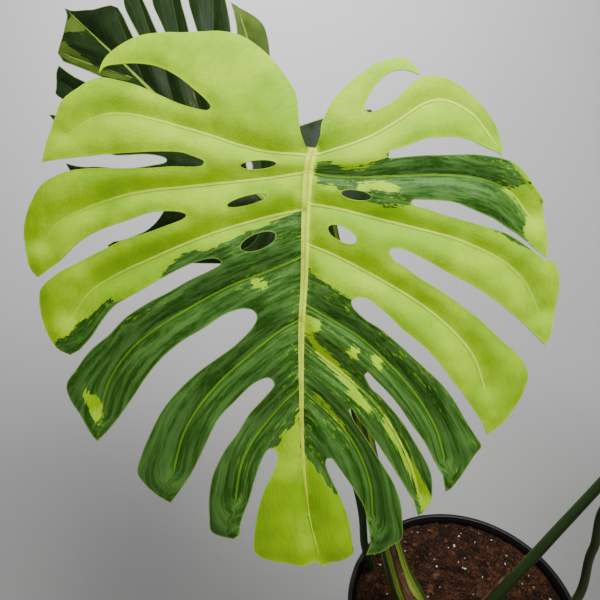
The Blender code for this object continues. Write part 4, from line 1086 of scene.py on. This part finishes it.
BACK_VEINS = {
    -1: [
        "-1,-3 -30,13 -62,22 -95,18 -118,4",
        "0,-22 -22,-42 -48,-76 -76,-108 -98,-136 -112,-162",
        "0,-55 -20,-85 -48,-124 -76,-164 -100,-190 -113,-206",
        "0,-90 -16,-120 -36,-156 -56,-192 -76,-224 -88,-243",
        "0,-135 -12,-160 -26,-186 -40,-220 -52,-246 -59,-262",
        "0,-185 -8,-205 -18,-230 -28,-255",
    ],
    1: [
        "1,-3 20,5 38,9 52,6",
        "0,-9 28,-20 58,-37 88,-55 112,-72 128,-86",
        "0,-30 26,-58 54,-94 78,-120 96,-148 106,-174",
        "0,-80 18,-106 36,-136 58,-166 74,-196 84,-222",
        "0,-130 12,-152 25,-177 40,-206 52,-232 56,-252",
        "0,-190 8,-210 18,-232 27,-254 32,-267",
    ],
}
BACK_RIB = "0,0 0,-40 1,-90 1,-150 0,-210 0,-265 0,-302"
BACK_HOLES = [(-12, -46, 6, 2.8, 55), (-16, -101, 8, 3, 60), (14, -66, 9, 3, -55)]
# The lime patches on the dark blade
BACK_PATCHES = [
    "-1,-301 19.5,-290 2,-276",
    "33,-281 26,-281 23,-260 20,-234 6,-205 4,-200 10,-201 25,-229 30,-245 38,-271",
    "-103,-108 -126,-130 -126,-165 -116,-184 -104,-165 -90,-142 -80,-125 -70,-110",
    "-19,-127 -28,-142 -27,-143 -18,-128",
    "-16,-129 -25,-144 -24,-145 -15,-130",
]


def read_points(text):
    """Points in metres from a line of x,y pairs in millimetres."""
    return np.array([[float(value) for value in pair.split(",")] for pair in text.split()]) / 1000


def smooth_line(points, spacing):
    """The same line with rounded bends and points about one spacing apart. Its two ends stay."""
    ends = np.concatenate([[2 * points[0] - points[1]], points, [2 * points[-1] - points[-2]]])
    line = []
    for a, b, c, d in zip(ends, ends[1:], ends[2:], ends[3:]):
        count = max(1, round(float(np.linalg.norm(c - b)) / spacing))
        t = (np.arange(count) / count)[:, None]
        bend = (2 * a - 5 * b + 4 * c - d) * t**2 + (3 * b - a - 3 * c + d) * t**3
        line.append(0.5 * (2 * b + (c - a) * t + bend))
    return np.concatenate([*line, points[-1:]])


def oval(x, y, half_length, half_width, slope, count=30):
    """A hole's edge, in metres."""
    turn = math.radians(slope)
    angles = 2 * math.pi * np.arange(count) / count
    along, across = half_length * np.cos(angles), half_width * np.sin(angles)
    xs = x + along * math.cos(turn) - across * math.sin(turn)
    return np.stack([xs, y + along * math.sin(turn) + across * math.cos(turn)], axis=1)


def drawn_pattern(left_runs, right_runs, rib, veins, holes):
    """A drawn leaf: outline, middle rib, side veins from base to tip on each side, and holes."""
    left = [smooth_line(read_points(run), 0.002) for run in left_runs]
    right = [smooth_line(read_points(run)[::-1], 0.002) for run in reversed(right_runs)]
    sides = {}
    for side, lines in veins.items():
        sides[side] = [smooth_line(read_points(line), 0.0025) for line in lines]
    ovals = [oval(*(value / 1000 for value in hole[:4]), hole[4]) for hole in holes]
    return np.concatenate(left + right), smooth_line(read_points(rib), 0.0025), sides, ovals


def bent_vein(start, tip, rise):
    """A vein that leaves the rib squarely and bends down to its lobe's tip, as a function of 0 to 1."""
    middle = (start + tip) / 2 + np.array([0.0, rise])

    def at(t):
        return (1 - t) ** 2 * start + 2 * t * (1 - t) * middle + t**2 * tip

    return at


def grown_pattern(half_width, length, lobes, seed):
    """A split leaf by rule: veins fan from the middle rib, and a slit runs in between each two of them."""
    rng = random.Random(seed)
    outline, holes, sides = [], [], {}
    for side in (-1, 1):
        fan = []
        for i in range(lobes + 1):
            share = i / lobes
            start = np.array([0.0, -length * (0.012 + 0.58 * share**1.4)])
            angle = math.radians(119 - 90 * share + rng.uniform(-3, 3))
            reach = half_width * (1.02 + 0.45 * share - 0.85 * share**2) * rng.uniform(0.97, 1.04)
            tip = start + reach * np.array([side * math.sin(angle), -math.cos(angle)])
            fan.append(bent_vein(start, tip, 0.17 * reach))
        fan.append(bent_vein(np.array([0.0, -0.70 * length]), np.array([0.0, -length]), 0.0))
        sides[side] = [np.array([vein(t) for t in np.linspace(0.0, 0.93, 60)]) for vein in fan[:-1]]
        edge = [np.array([side * 0.004, 0.003])]
        shoulder = ((0.05, 0.09), (0.16, 0.16), (0.34, 0.195), (0.55, 0.18), (0.76, 0.125), (0.92, 0.055))
        for t, rise in shoulder:
            edge.append(fan[0](t) + np.array([0.0, rise * length]))
        runs = []
        for upper, lower in zip(fan, fan[1:]):
            last = lower is fan[-1]
            root = 0.34 if last else rng.uniform(0.36, 0.46)
            before, after = (0.29, 0.60) if last else (0.435, 0.450)
            for t in (0.999, 0.93, 0.84, 0.7, root + 0.06):
                edge.append(upper(t) + (lower(t) - upper(t)) * (before + 0.03 * (1 - t)) * (1 - t**9))
                if t == 0.999:
                    runs.append(len(edge) - 1)
            edge.append(upper(root) + (lower(root) - upper(root)) * (before + 0.5 - after / 2 - before / 2))
            for t in (root + 0.06, 0.66, 0.8, 0.9, 0.96, 0.985):
                edge.append(lower(t) + (upper(t) - lower(t)) * (after + 0.02 * (1 - t)) * (1 - t**16))
            near, far = upper(0.19), lower(0.19)
            gap = np.linalg.norm(near - far)
            if lower is not fan[1] and not last and gap > 0.030:
                run = lower(0.3) - lower(0.1)
                slope = math.degrees(math.atan2(run[1], run[0]))
                holes.append(oval(*((near + far) / 2), 0.034 * length, 0.13 * gap, slope))
        edge = np.array([*edge, [0.0, -length - 0.004]])
        corners = [0, *runs, len(edge) - 1]
        pieces = [smooth_line(edge[a : b + 1], 0.0022)[:-1] for a, b in zip(corners, corners[1:])]
        edge = np.concatenate([*pieces, edge[-1:]])
        outline.append(edge if side < 0 else edge[-2::-1])
    rib = np.array([[0.0, -length * t] for t in np.linspace(0, 0.97, 110)])
    return np.concatenate(outline), rib, sides, holes


def inside(points, loops):
    """Which points lie inside the outline and outside its holes."""
    odd = np.zeros(len(points), bool)
    for loop in loops:
        for (x0, y0), (x1, y1) in zip(loop, np.roll(loop, -1, axis=0)):
            if y0 != y1:
                near = np.nonzero((y0 > points[:, 1]) != (y1 > points[:, 1]))[0]
                odd[near] ^= points[near, 0] < x0 + (points[near, 1] - y0) * (x1 - x0) / (y1 - y0)
    return odd


def distance_to(points, line):
    """Each point's signed distance to an open line: positive on the line's right as it runs."""
    best = np.full(len(points), np.inf)
    sign = np.ones(len(points))
    for start, end in zip(line, line[1:]):
        run = end - start
        away = points - start
        share = np.clip((away @ run) / max(run @ run, 1e-18), 0, 1)
        gap = np.hypot(away[:, 0] - share * run[0], away[:, 1] - share * run[1])
        closer = gap < best
        turn = run[1] * away[:, 0] - run[0] * away[:, 1]
        sign = np.where(closer, np.where(turn >= 0, 1.0, -1.0), sign)
        best = np.minimum(best, gap)
    return best * sign


def rows_beside(line, gaps, spacing):
    """Points in rows at these distances from a line, on both its sides."""
    path = smooth_line(line, spacing) if len(line) > 3 else line
    step = np.gradient(path, axis=0)
    across = np.stack([-step[:, 1], step[:, 0]], axis=1) / np.linalg.norm(step, axis=1)[:, None].clip(1e-9)
    return np.concatenate([path + gap * across for gap in gaps])


def thinned(points, gap):
    """The points without those that crowd an earlier one."""
    cells = {}
    kept = []
    for x, y in points.tolist():
        home = (round(x / gap), round(y / gap))
        around = [cells.get((home[0] + i, home[1] + j)) for i in (-1, 0, 1) for j in (-1, 0, 1)]
        if all(spot is None or math.hypot(spot[0] - x, spot[1] - y) > gap for spot in around):
            cells[home] = (x, y)
            kept.append((x, y))
    return np.array(kept)


def filled(outline, lines, holes, spacing):
    """Triangles over a leaf, finest at its edge and its veins: (points, faces)."""
    loops = [outline, *holes]
    edges = [np.concatenate([loop, loop[:1]]) for loop in loops]
    close = [rows_beside(line, (-0.0008, 0.0008, -0.0020, 0.0020, -0.0038, 0.0038), 0.003) for line in lines]
    close += [rows_beside(loop, (-0.0009, 0.0009, -0.0024, 0.0024), 0.0025) for loop in edges]
    low, high = outline.min(axis=0), outline.max(axis=0)
    rows = np.arange(low[1], high[1], spacing * 0.866)
    columns = np.arange(low[0], high[0], spacing)
    grid = np.array([(x + (spacing / 2 if i % 2 else 0), y) for i, y in enumerate(rows) for x in columns])
    loose = np.concatenate([*close, grid])
    loose = loose[inside(loose, loops)]
    to_edge = np.min([np.abs(distance_to(loose, edge)) for edge in edges], axis=0)
    to_line = np.min([np.abs(distance_to(loose, line)) for line in lines], axis=0)
    loose = thinned(loose[(to_edge > 0.0007) & (to_line > 0.0006)], 0.0012)
    points, bonds = [], []
    for line, closes in [(loop, True) for loop in loops] + [(line, False) for line in lines]:
        first, count = len(points), len(line)
        points += [tuple(point) for point in line]
        bonds += [(first + i, first + (i + 1) % count) for i in range(count if closes else count - 1)]
    points += [tuple(point) for point in loose]
    corners = [Vector(point) for point in points]
    flat, _, faces, *_ = geometry.delaunay_2d_cdt(corners, bonds, [], 1, 1e-5, False)
    flat, faces = np.array([point[:] for point in flat]), np.array(faces)
    return flat, faces[inside(flat[faces].mean(axis=1), loops)]


def patch_distance(points, patches):
    """Signed distance to the border of some patches: positive inside them."""
    best = np.full(len(points), -1.0)
    for patch in patches:
        loop = smooth_line(np.concatenate([patch, patch[:1]]), 0.004)
        away = np.abs(distance_to(points, loop))
        best = np.maximum(best, np.where(inside(points, [loop]), away, -away))
    return best


def fan_marks(points, rib, sides):
    """(side, nearest side vein's distance, tip side positive; place in the fan of veins; rib distance)."""
    to_rib = distance_to(points, rib)
    vein = np.full(len(points), 1.0)
    fan = np.zeros(len(points))
    for side, lines in sides.items():
        mine = (to_rib < 0) if side > 0 else (to_rib >= 0)
        spots = points[mine]
        gaps = np.array([distance_to(spots, line) * side for line in lines])
        nearest = np.abs(gaps).argmin(axis=0)
        vein[mine] = gaps[nearest, np.arange(len(spots))]
        below = (gaps > 0).sum(axis=0)
        padded = np.concatenate([[np.full(len(spots), 0.04)], gaps, [np.full(len(spots), -0.03)]])
        rows = np.arange(len(spots))
        upper = np.abs(padded[below, rows])
        lower = np.abs(padded[np.minimum(below + 1, len(lines) + 1), rows])
        fan[mine] = below + upper / (upper + lower).clip(1e-6)
    return to_rib, vein, fan


def blade_mesh(leaf, pattern, patches_of, spacing=0.0034):
    """A blade with two faces and a rim. patches_of gives the distance into the lime."""
    outline, rib, sides, holes = pattern
    lines = [rib, *sides[-1], *sides[1]]
    flat, faces = filled(outline, lines, holes, spacing)
    used = np.unique(faces)
    place = np.full(len(flat), -1)
    place[used] = np.arange(len(used))
    flat, faces = flat[used], place[faces]
    half_width, length = leaf["span"]
    to_rib, vein, fan = fan_marks(flat, rib, sides)
    rib_gap, vein_gap = np.abs(to_rib), np.abs(vein)
    edges = [np.concatenate([loop, loop[:1]]) for loop in (outline, *holes)]
    border = np.min([np.abs(distance_to(flat, edge)) for edge in edges], axis=0)
    down = -flat[:, 1] / length
    rib_width = 0.0034 * np.clip(1.05 - down, 0.12, 1.0)
    pillow = 0.0035 * (1 - np.exp(-((np.minimum(rib_gap, vein_gap) / 0.009) ** 2)))
    arch = 0.0024 * np.sin(np.pi * (fan % 1.0)) * np.clip(rib_gap / 0.03, 0, 1)
    groove = 0.0003 * np.exp(-((vein_gap / 0.0015) ** 2)) * np.clip(1.1 - rib_gap / 0.19, 0.2, 1)
    ridge = 0.0011 * np.exp(-((rib_gap / rib_width) ** 4)) * np.clip(1.1 - down, 0.1, 1)
    channel = 0.0009 * np.exp(-(((rib_gap - 1.5 * rib_width) / (0.55 * rib_width)) ** 2))
    droop = 0.0017 * np.exp(-((border / 0.0050) ** 2))
    waves = [noise.noise(Vector((x * 24, y * 24, len(leaf["name"])))) for x, y in flat.tolist()]
    puckers = [noise.noise(Vector((x * 85, y * 85, 4.0))) for x, y in flat.tolist()]
    height = pillow + arch - groove + ridge - channel - droop
    height = height + 0.0022 * np.array(waves) + 0.0006 * np.array(puckers)
    across = flat[:, 0] / half_width
    side_sag, tip_sag, base_sag = leaf["sag"]
    sag = side_sag * across**2 + tip_sag * np.maximum(down, 0) ** 2
    sag = sag + base_sag * (3 * np.minimum(down, 0)) ** 2 + 0.012 * np.clip(down, 0, 1) ** 3
    # The lobes' outer ends hang a little more, most of all on one side.
    sag = sag + np.clip((rib_gap - 0.07) / 0.12, 0, 1) ** 2 * np.where(to_rib < 0, 0.016, 0.003)
    x, y, reach = leaf["spread"]
    spread = flat + (flat - np.array([x, y])) * (sag / reach)[:, None]
    top = np.column_stack([spread, height - sag])
    turned = np.cross(top[faces[:, 1]] - top[faces[:, 0]], top[faces[:, 2]] - top[faces[:, 0]])
    faces = np.where((turned[:, 2] < 0)[:, None], faces[:, ::-1], faces)
    turned = np.where((turned[:, 2] < 0)[:, None], -turned, turned)
    normals = np.zeros_like(top)
    for corner in range(3):
        np.add.at(normals, faces[:, corner], turned)
    normals /= np.linalg.norm(normals, axis=1)[:, None].clip(1e-12)
    keel = 0.0048 * np.exp(-((rib_gap / (1.3 * rib_width)) ** 2)) * np.clip(1.02 - down, 0.05, 1) ** 0.8
    keel *= np.clip((down + 0.04) / 0.04, 0, 1)
    cord = 0.0014 * np.exp(-((vein_gap / 0.0013) ** 2)) * np.clip(1.05 - rib_gap / 0.17, 0.1, 1)
    thickness = 0.0008 + np.where(border > 0.0015, keel + cord, 0.0)
    bottom = top - normals * thickness[:, None]
    count = len(top)
    sides_of = np.concatenate([faces[:, [0, 1]], faces[:, [1, 2]], faces[:, [2, 0]]])
    lone = {}
    for a, b in sides_of.tolist():
        if (b, a) in lone:
            del lone[b, a]
        else:
            lone[a, b] = True
    rim = [(b, a, a + count, b + count) for a, b in lone]
    skin = faces.tolist() + (faces[:, ::-1] + count).tolist() + rim
    mesh = bpy.data.meshes.new("leaf_" + leaf["name"])
    matrix = np.array(leaf_matrix(leaf))
    both = np.concatenate([top, bottom]) @ matrix[:3, :3].T + matrix[:3, 3]
    mesh.from_pydata(both.tolist(), [], skin)
    lime = patches_of(flat, fan, to_rib)
    values = dict(vein=vein, rib=to_rib, rib_width=rib_width, border=border, lime=lime)
    for name, value in values.items():
        marked = mesh.attributes.new(name, "FLOAT", "POINT")
        marked.data.foreach_set("value", np.tile(value, 2).astype(np.float32))
    under = mesh.attributes.new("under", "FLOAT", "POINT")
    under.data.foreach_set("value", np.repeat([0.0, 1.0], count).astype(np.float32))
    side = np.where(to_rib < 0, 1.0, -1.0)
    streaks = np.column_stack([side * (0.1 + rib_gap), fan * 0.035, side])
    marked = mesh.attributes.new("streak", "FLOAT_VECTOR", "POINT")
    marked.data.foreach_set("vector", np.tile(streaks, (2, 1)).astype(np.float32).ravel())
    mesh.shade_smooth()
    mesh.set_sharp_from_angle(angle=math.radians(58))
    return mesh


def leaf_finish(name, tones, vein_tones, wander):
    """Skin. tones: dark, mid, lime, pale lime; the mid tone's patches over the dark green are partly painted
    sheen. vein_tones: on dark, on lime. wander: how borders stray.
    """
    finish, tree, shader = new_finish(name)
    dark, mid_and_sheen, lime, pale = tones
    place, streak = place_of(tree), mark_of(tree, "streak", "Vector")
    long = noise_of(tree, stretch_of(tree, streak, (34.0, 300.0, 5.0)), 1.0, 5.0, 0.66)
    bold = noise_of(tree, stretch_of(tree, streak, (13.0, 75.0, 3.0), (3.0, 1.0, 0.0)), 1.0, 3.0, 0.55)
    jag = noise_of(tree, stretch_of(tree, streak, (190.0, 620.0, 7.0)), 1.0, 4.0, 0.6)
    fleck = noise_of(tree, stretch_of(tree, streak, (210.0, 760.0, 9.0), (1.0, 5.0, 0.0)), 1.0, 3.0, 0.6)
    soft = noise_of(tree, place, 22.0, 3.0)
    vein, rib, border = mark_of(tree, "vein"), mark_of(tree, "rib"), mark_of(tree, "border")
    rib_gap, vein_gap = sum_of(tree, "ABSOLUTE", rib), sum_of(tree, "ABSOLUTE", vein)
    stray = sum_of(tree, "MULTIPLY_ADD", long, wander, -wander / 2)
    stray = sum_of(tree, "ADD", stray, sum_of(tree, "MULTIPLY_ADD", jag, 0.7 * wander, -0.35 * wander))
    edge = sum_of(tree, "ADD", mark_of(tree, "lime"), stray)
    in_lime = step_of(tree, edge, -0.00015, 0.0002)
    near_lime = step_of(tree, sum_of(tree, "MULTIPLY_ADD", bold, 0.060, edge), 0.020, 0.030)
    # Patches of the mid tone over the dark green: partly the leaf's own mottling, partly painted sheen.
    green = blend_of(tree, step_of(tree, long, 0.40, 0.62), dark, mid_and_sheen)
    green = blend_of(tree, sum_of(tree, "MULTIPLY", step_of(tree, jag, 0.50, 0.60), 0.30), green, mid_and_sheen)
    specks = sum_of(tree, "MULTIPLY", step_of(tree, fleck, 0.55, 0.62), near_lime)
    specks = sum_of(tree, "MULTIPLY", specks, step_of(tree, jag, 0.44, 0.54))
    green = blend_of(tree, sum_of(tree, "MULTIPLY", specks, 0.80), green, lime)
    yellow = blend_of(tree, step_of(tree, soft, 0.36, 0.64), lime, pale)
    yellow = blend_of(tree, sum_of(tree, "MULTIPLY", step_of(tree, jag, 0.56, 0.72), 0.16), yellow, mid_and_sheen)
    color = blend_of(tree, in_lime, green, yellow)
    mesh_size = stretch_of(tree, streak, (190.0, 420.0, 1.0))
    inputs = [("Vector", mesh_size), ("Scale", 1.0)]
    cells = add(tree, "ShaderNodeTexVoronoi", *inputs, feature="DISTANCE_TO_EDGE")
    net = step_of(tree, cells.outputs["Distance"], 0.10, 0.0)
    color = blend_of(tree, sum_of(tree, "MULTIPLY", net, 0.13), color, mid_and_sheen)
    # A dark band just on the tip side of each side vein is painted shade of the vein's groove.
    shade = sum_of(tree, "MULTIPLY", step_of(tree, vein, 0.0019, 0.0012), step_of(tree, vein, 0.0005, 0.0009))
    shade = sum_of(tree, "MULTIPLY", shade, step_of(tree, rib_gap, 0.20, 0.06))
    color = blend_of(tree, sum_of(tree, "MULTIPLY", shade, 0.72), color, blend_of(tree, in_lime, dark, mid_and_sheen))
    line = step_of(tree, vein_gap, 0.00090, 0.00055)
    line = sum_of(tree, "MULTIPLY", line, step_of(tree, rib_gap, 0.21, 0.08))
    vein_color = blend_of(tree, in_lime, *vein_tones)
    color = blend_of(tree, sum_of(tree, "MULTIPLY", line, 0.85), color, vein_color)
    band = sum_of(tree, "DIVIDE", rib_gap, mark_of(tree, "rib_width"))
    midrib = blend_of(tree, step_of(tree, band, 0.26, 0.10), vein_tones[1], (0.46, 0.74, 0.015))
    ridges = noise_of(tree, stretch_of(tree, triple(tree, rib, 0.0, 0.0), (2600.0, 1.0, 1.0)), 1.0, 2.0)
    ridges = step_of(tree, ridges, 0.48, 0.66)
    midrib = blend_of(tree, sum_of(tree, "MULTIPLY", ridges, 0.45), midrib, (0.46, 0.74, 0.015))
    color = blend_of(tree, step_of(tree, band, 1.05, 0.92), color, midrib)
    rim = step_of(tree, border, 0.0009, 0.0002)
    rim_color = blend_of(tree, in_lime, (0.24, 0.40, 0.05), pale)
    color = blend_of(tree, sum_of(tree, "MULTIPLY", rim, 0.75), color, rim_color)
    under = mark_of(tree, "under")
    back = blend_of(tree, 0.40, color, (0.22, 0.36, 0.06))
    cords = sum_of(tree, "MULTIPLY", step_of(tree, vein_gap, 0.0022, 0.0008), 0.6)
    back = blend_of(tree, cords, back, (0.30, 0.42, 0.16))
    color = blend_of(tree, under, color, back)
    tree.links.new(color, shader.inputs["Base Color"])
    dust = noise_of(tree, place, 60.0, 5.0, 0.65)
    rough = sum_of(tree, "MULTIPLY_ADD", dust, 0.20, 0.33)
    rough = sum_of(tree, "MULTIPLY_ADD", in_lime, 0.16, rough)
    rough = sum_of(tree, "MULTIPLY_ADD", under, 0.22, rough, clamp=True)
    tree.links.new(rough, shader.inputs["Roughness"])
    shader.inputs["Specular IOR Level"].default_value = 0.15
    pores = noise_of(tree, place, 1400.0, 2.0)
    inverse = sum_of(tree, "SUBTRACT", 1.0, net)
    bumps = [(line, 0.0005, 0.6), (ridges, 0.0004, 0.4), (inverse, 0.0002, 0.22)]
    bump_onto(tree, shader, [*bumps, (long, 0.0004, 0.3), (pores, 0.0001, 0.3)])
    return finish


def in_front_lime(flat, fan, to_rib):
    """Distance into the front leaf's lime: out of its dark patches, or inside their islands."""
    dark = patch_distance(flat, [read_points(patch) for patch in FRONT_PATCHES])
    island = patch_distance(flat, [read_points(patch) for patch in FRONT_ISLANDS])
    return np.maximum(-dark, island - 0.0008)


def in_back_lime(flat, fan, to_rib):
    """Distance into the back leaf's few lime patches."""
    return patch_distance(flat, [read_points(patch) for patch in BACK_PATCHES])


def sector_lime(seed, bias):
    """Lime in sectors that follow the veins, as a function like the two above."""

    def lime(flat, fan, to_rib):
        spots = zip(fan.tolist(), to_rib.tolist())
        values = [noise.noise(Vector((f * 0.75, seed + (5 if r < 0 else 0), abs(r) * 5))) for f, r in spots]
        return np.array(values) * 0.05 + bias

    return lime


# Dark, mid, lime and pale lime. Over the dark green the mid tone's patches are partly painted sheen.
FRONT_TONES = [(0.020, 0.082, 0.004), (0.095, 0.235, 0.042), (0.31, 0.60, 0.001), (0.45, 0.77, 0.002)]
VEIN_TONES = [(0.17, 0.38, 0.014), (0.84, 1.0, 0.06)]
front_pattern = drawn_pattern(FRONT_LEFT_RUNS, FRONT_RIGHT_RUNS, FRONT_RIB, FRONT_VEINS, FRONT_HOLES)
front_blade = blade_mesh(LEAF_FRONT, front_pattern, in_front_lime)
leaf_front = show("front_blade", front_blade, leaf_finish("front_leaf_skin", FRONT_TONES, VEIN_TONES, 0.010))
onto_frame(leaf_front, "leaf_front", "leaf_front")

# The back leaf's tones and vein tones are darker copies of the front leaf's. They are painted shade, because
# this leaf hangs in shade behind the front leaf.
BACK_SHADED_TONES = [(0.008, 0.022, 0.004), (0.018, 0.042, 0.008), (0.055, 0.105, 0.010), (0.11, 0.18, 0.02)]
BACK_SHADED_VEIN_TONES = [(0.036, 0.070, 0.016), (0.24, 0.36, 0.06)]
back_pattern = drawn_pattern(BACK_LEFT_RUNS, BACK_RIGHT_RUNS, BACK_RIB, BACK_VEINS, BACK_HOLES)
back_blade = blade_mesh(LEAF_BACK, back_pattern, in_back_lime)
leaf_back = show("back_blade", back_blade, leaf_finish("back_leaf_skin", BACK_SHADED_TONES, BACK_SHADED_VEIN_TONES, 0.007))
onto_frame(leaf_back, "leaf_back", "leaf_back")

right_pattern = grown_pattern(*LEAF_RIGHT["span"], 6, 11)
right_blade = blade_mesh(LEAF_RIGHT, right_pattern, sector_lime(2.0, -0.004), 0.0040)
leaf_right = show("right_blade", right_blade, leaf_finish("right_leaf_skin", FRONT_TONES, VEIN_TONES, 0.012))
onto_frame(leaf_right, "leaf_right", "leaf_right")

corner_pattern = grown_pattern(*LEAF_CORNER["span"], 5, 23)
corner_blade = blade_mesh(LEAF_CORNER, corner_pattern, sector_lime(8.0, 0.003), 0.0036)
corner_leaf_skin = leaf_finish("corner_leaf_skin", FRONT_TONES, VEIN_TONES, 0.012)
leaf_corner = show("corner_blade", corner_blade, corner_leaf_skin)
onto_frame(leaf_corner, "leaf_corner", "leaf_corner")

# Studio
# A pale seamless sheet: a floor that curves up into a wall far behind the plant. Soft light comes from
# above, a wide lamp brightens the wall, and a weak wide fill comes from the front.


def sheet_mesh(reach, curve, height, steps=24):
    """A floor that bends up into a wall at its back, in one smooth strip."""
    profile = [(-3.0, 0.0), (reach, 0.0)]
    for i in range(1, steps + 1):
        angle = math.pi / 2 * i / steps
        profile.append((reach + curve * math.sin(angle), curve * (1 - math.cos(angle))))
    profile.append((reach + curve, height))
    points = [(x, y, z) for y, z in profile for x in (-5.0, 5.0)]
    faces = [(2 * i, 2 * i + 1, 2 * i + 3, 2 * i + 2) for i in range(len(profile) - 1)]
    mesh = bpy.data.meshes.new("seamless_sheet")
    mesh.from_pydata(points, [], faces)
    mesh.shade_smooth()
    return mesh


def sheet_finish():
    """Matt grey paper, slightly uneven."""
    finish, tree, shader = new_finish("grey_paper")
    place = place_of(tree)
    cloud = noise_of(tree, place, 1.6, 2.0)
    tree.links.new(blend_of(tree, cloud, (0.36, 0.36, 0.36), (0.40, 0.40, 0.40)), shader.inputs["Base Color"])
    shader.inputs["Roughness"].default_value = 0.9
    bump_onto(tree, shader, [(noise_of(tree, place, 400.0, 2.0), 0.0002, 0.2)])
    return finish


paper = show("seamless_sheet", sheet_mesh(0.8, 1.8, 4.0), sheet_finish())


def soft_light(name, place, target, size, power, color):
    """A square area light that faces a target."""
    light = bpy.data.lights.new(name, "AREA")
    light.size = size
    light.energy = power
    light.color = color
    lamp = bpy.data.objects.new(name, light)
    lamp.location = place
    lamp.rotation_euler = (Vector(target) - Vector(place)).to_track_quat("-Z", "Y").to_euler()
    bpy.context.scene.collection.objects.link(lamp)


soft_light("overhead", (0.10, 0.0, 1.66), (-0.08, 0.0, 0.5), 0.62, 24.0, (1.0, 0.985, 0.96))
soft_light("fill", (0.5, -1.9, 1.5), (0.0, 0.0, 0.3), 1.6, 11.0, (1.0, 0.99, 0.97))
soft_light("wall_wash", (-0.32, 1.2, 2.1), (-0.27, 2.2, 1.6), 1.0, 118.0, (1.0, 0.99, 1.0))

world = bpy.data.worlds.new("studio_air")
world.use_nodes = True
world.node_tree.nodes["Background"].inputs["Color"].default_value = (0.86, 0.90, 0.95, 1.0)
world.node_tree.nodes["Background"].inputs["Strength"].default_value = 0.17
bpy.context.scene.world = world

lens = bpy.data.cameras.new("camera")
lens.sensor_width = 36.0
lens.lens = 36.9
camera = bpy.data.objects.new("camera", lens)
camera.matrix_world = Matrix.LocRotScale(
    Vector((-0.168, -0.375, RIM_HEIGHT + 0.605)),
    Vector((0.0, 0.851, -0.525)).to_track_quat("-Z", "Y"),
    None,
)
bpy.context.scene.collection.objects.link(camera)
bpy.context.scene.camera = camera
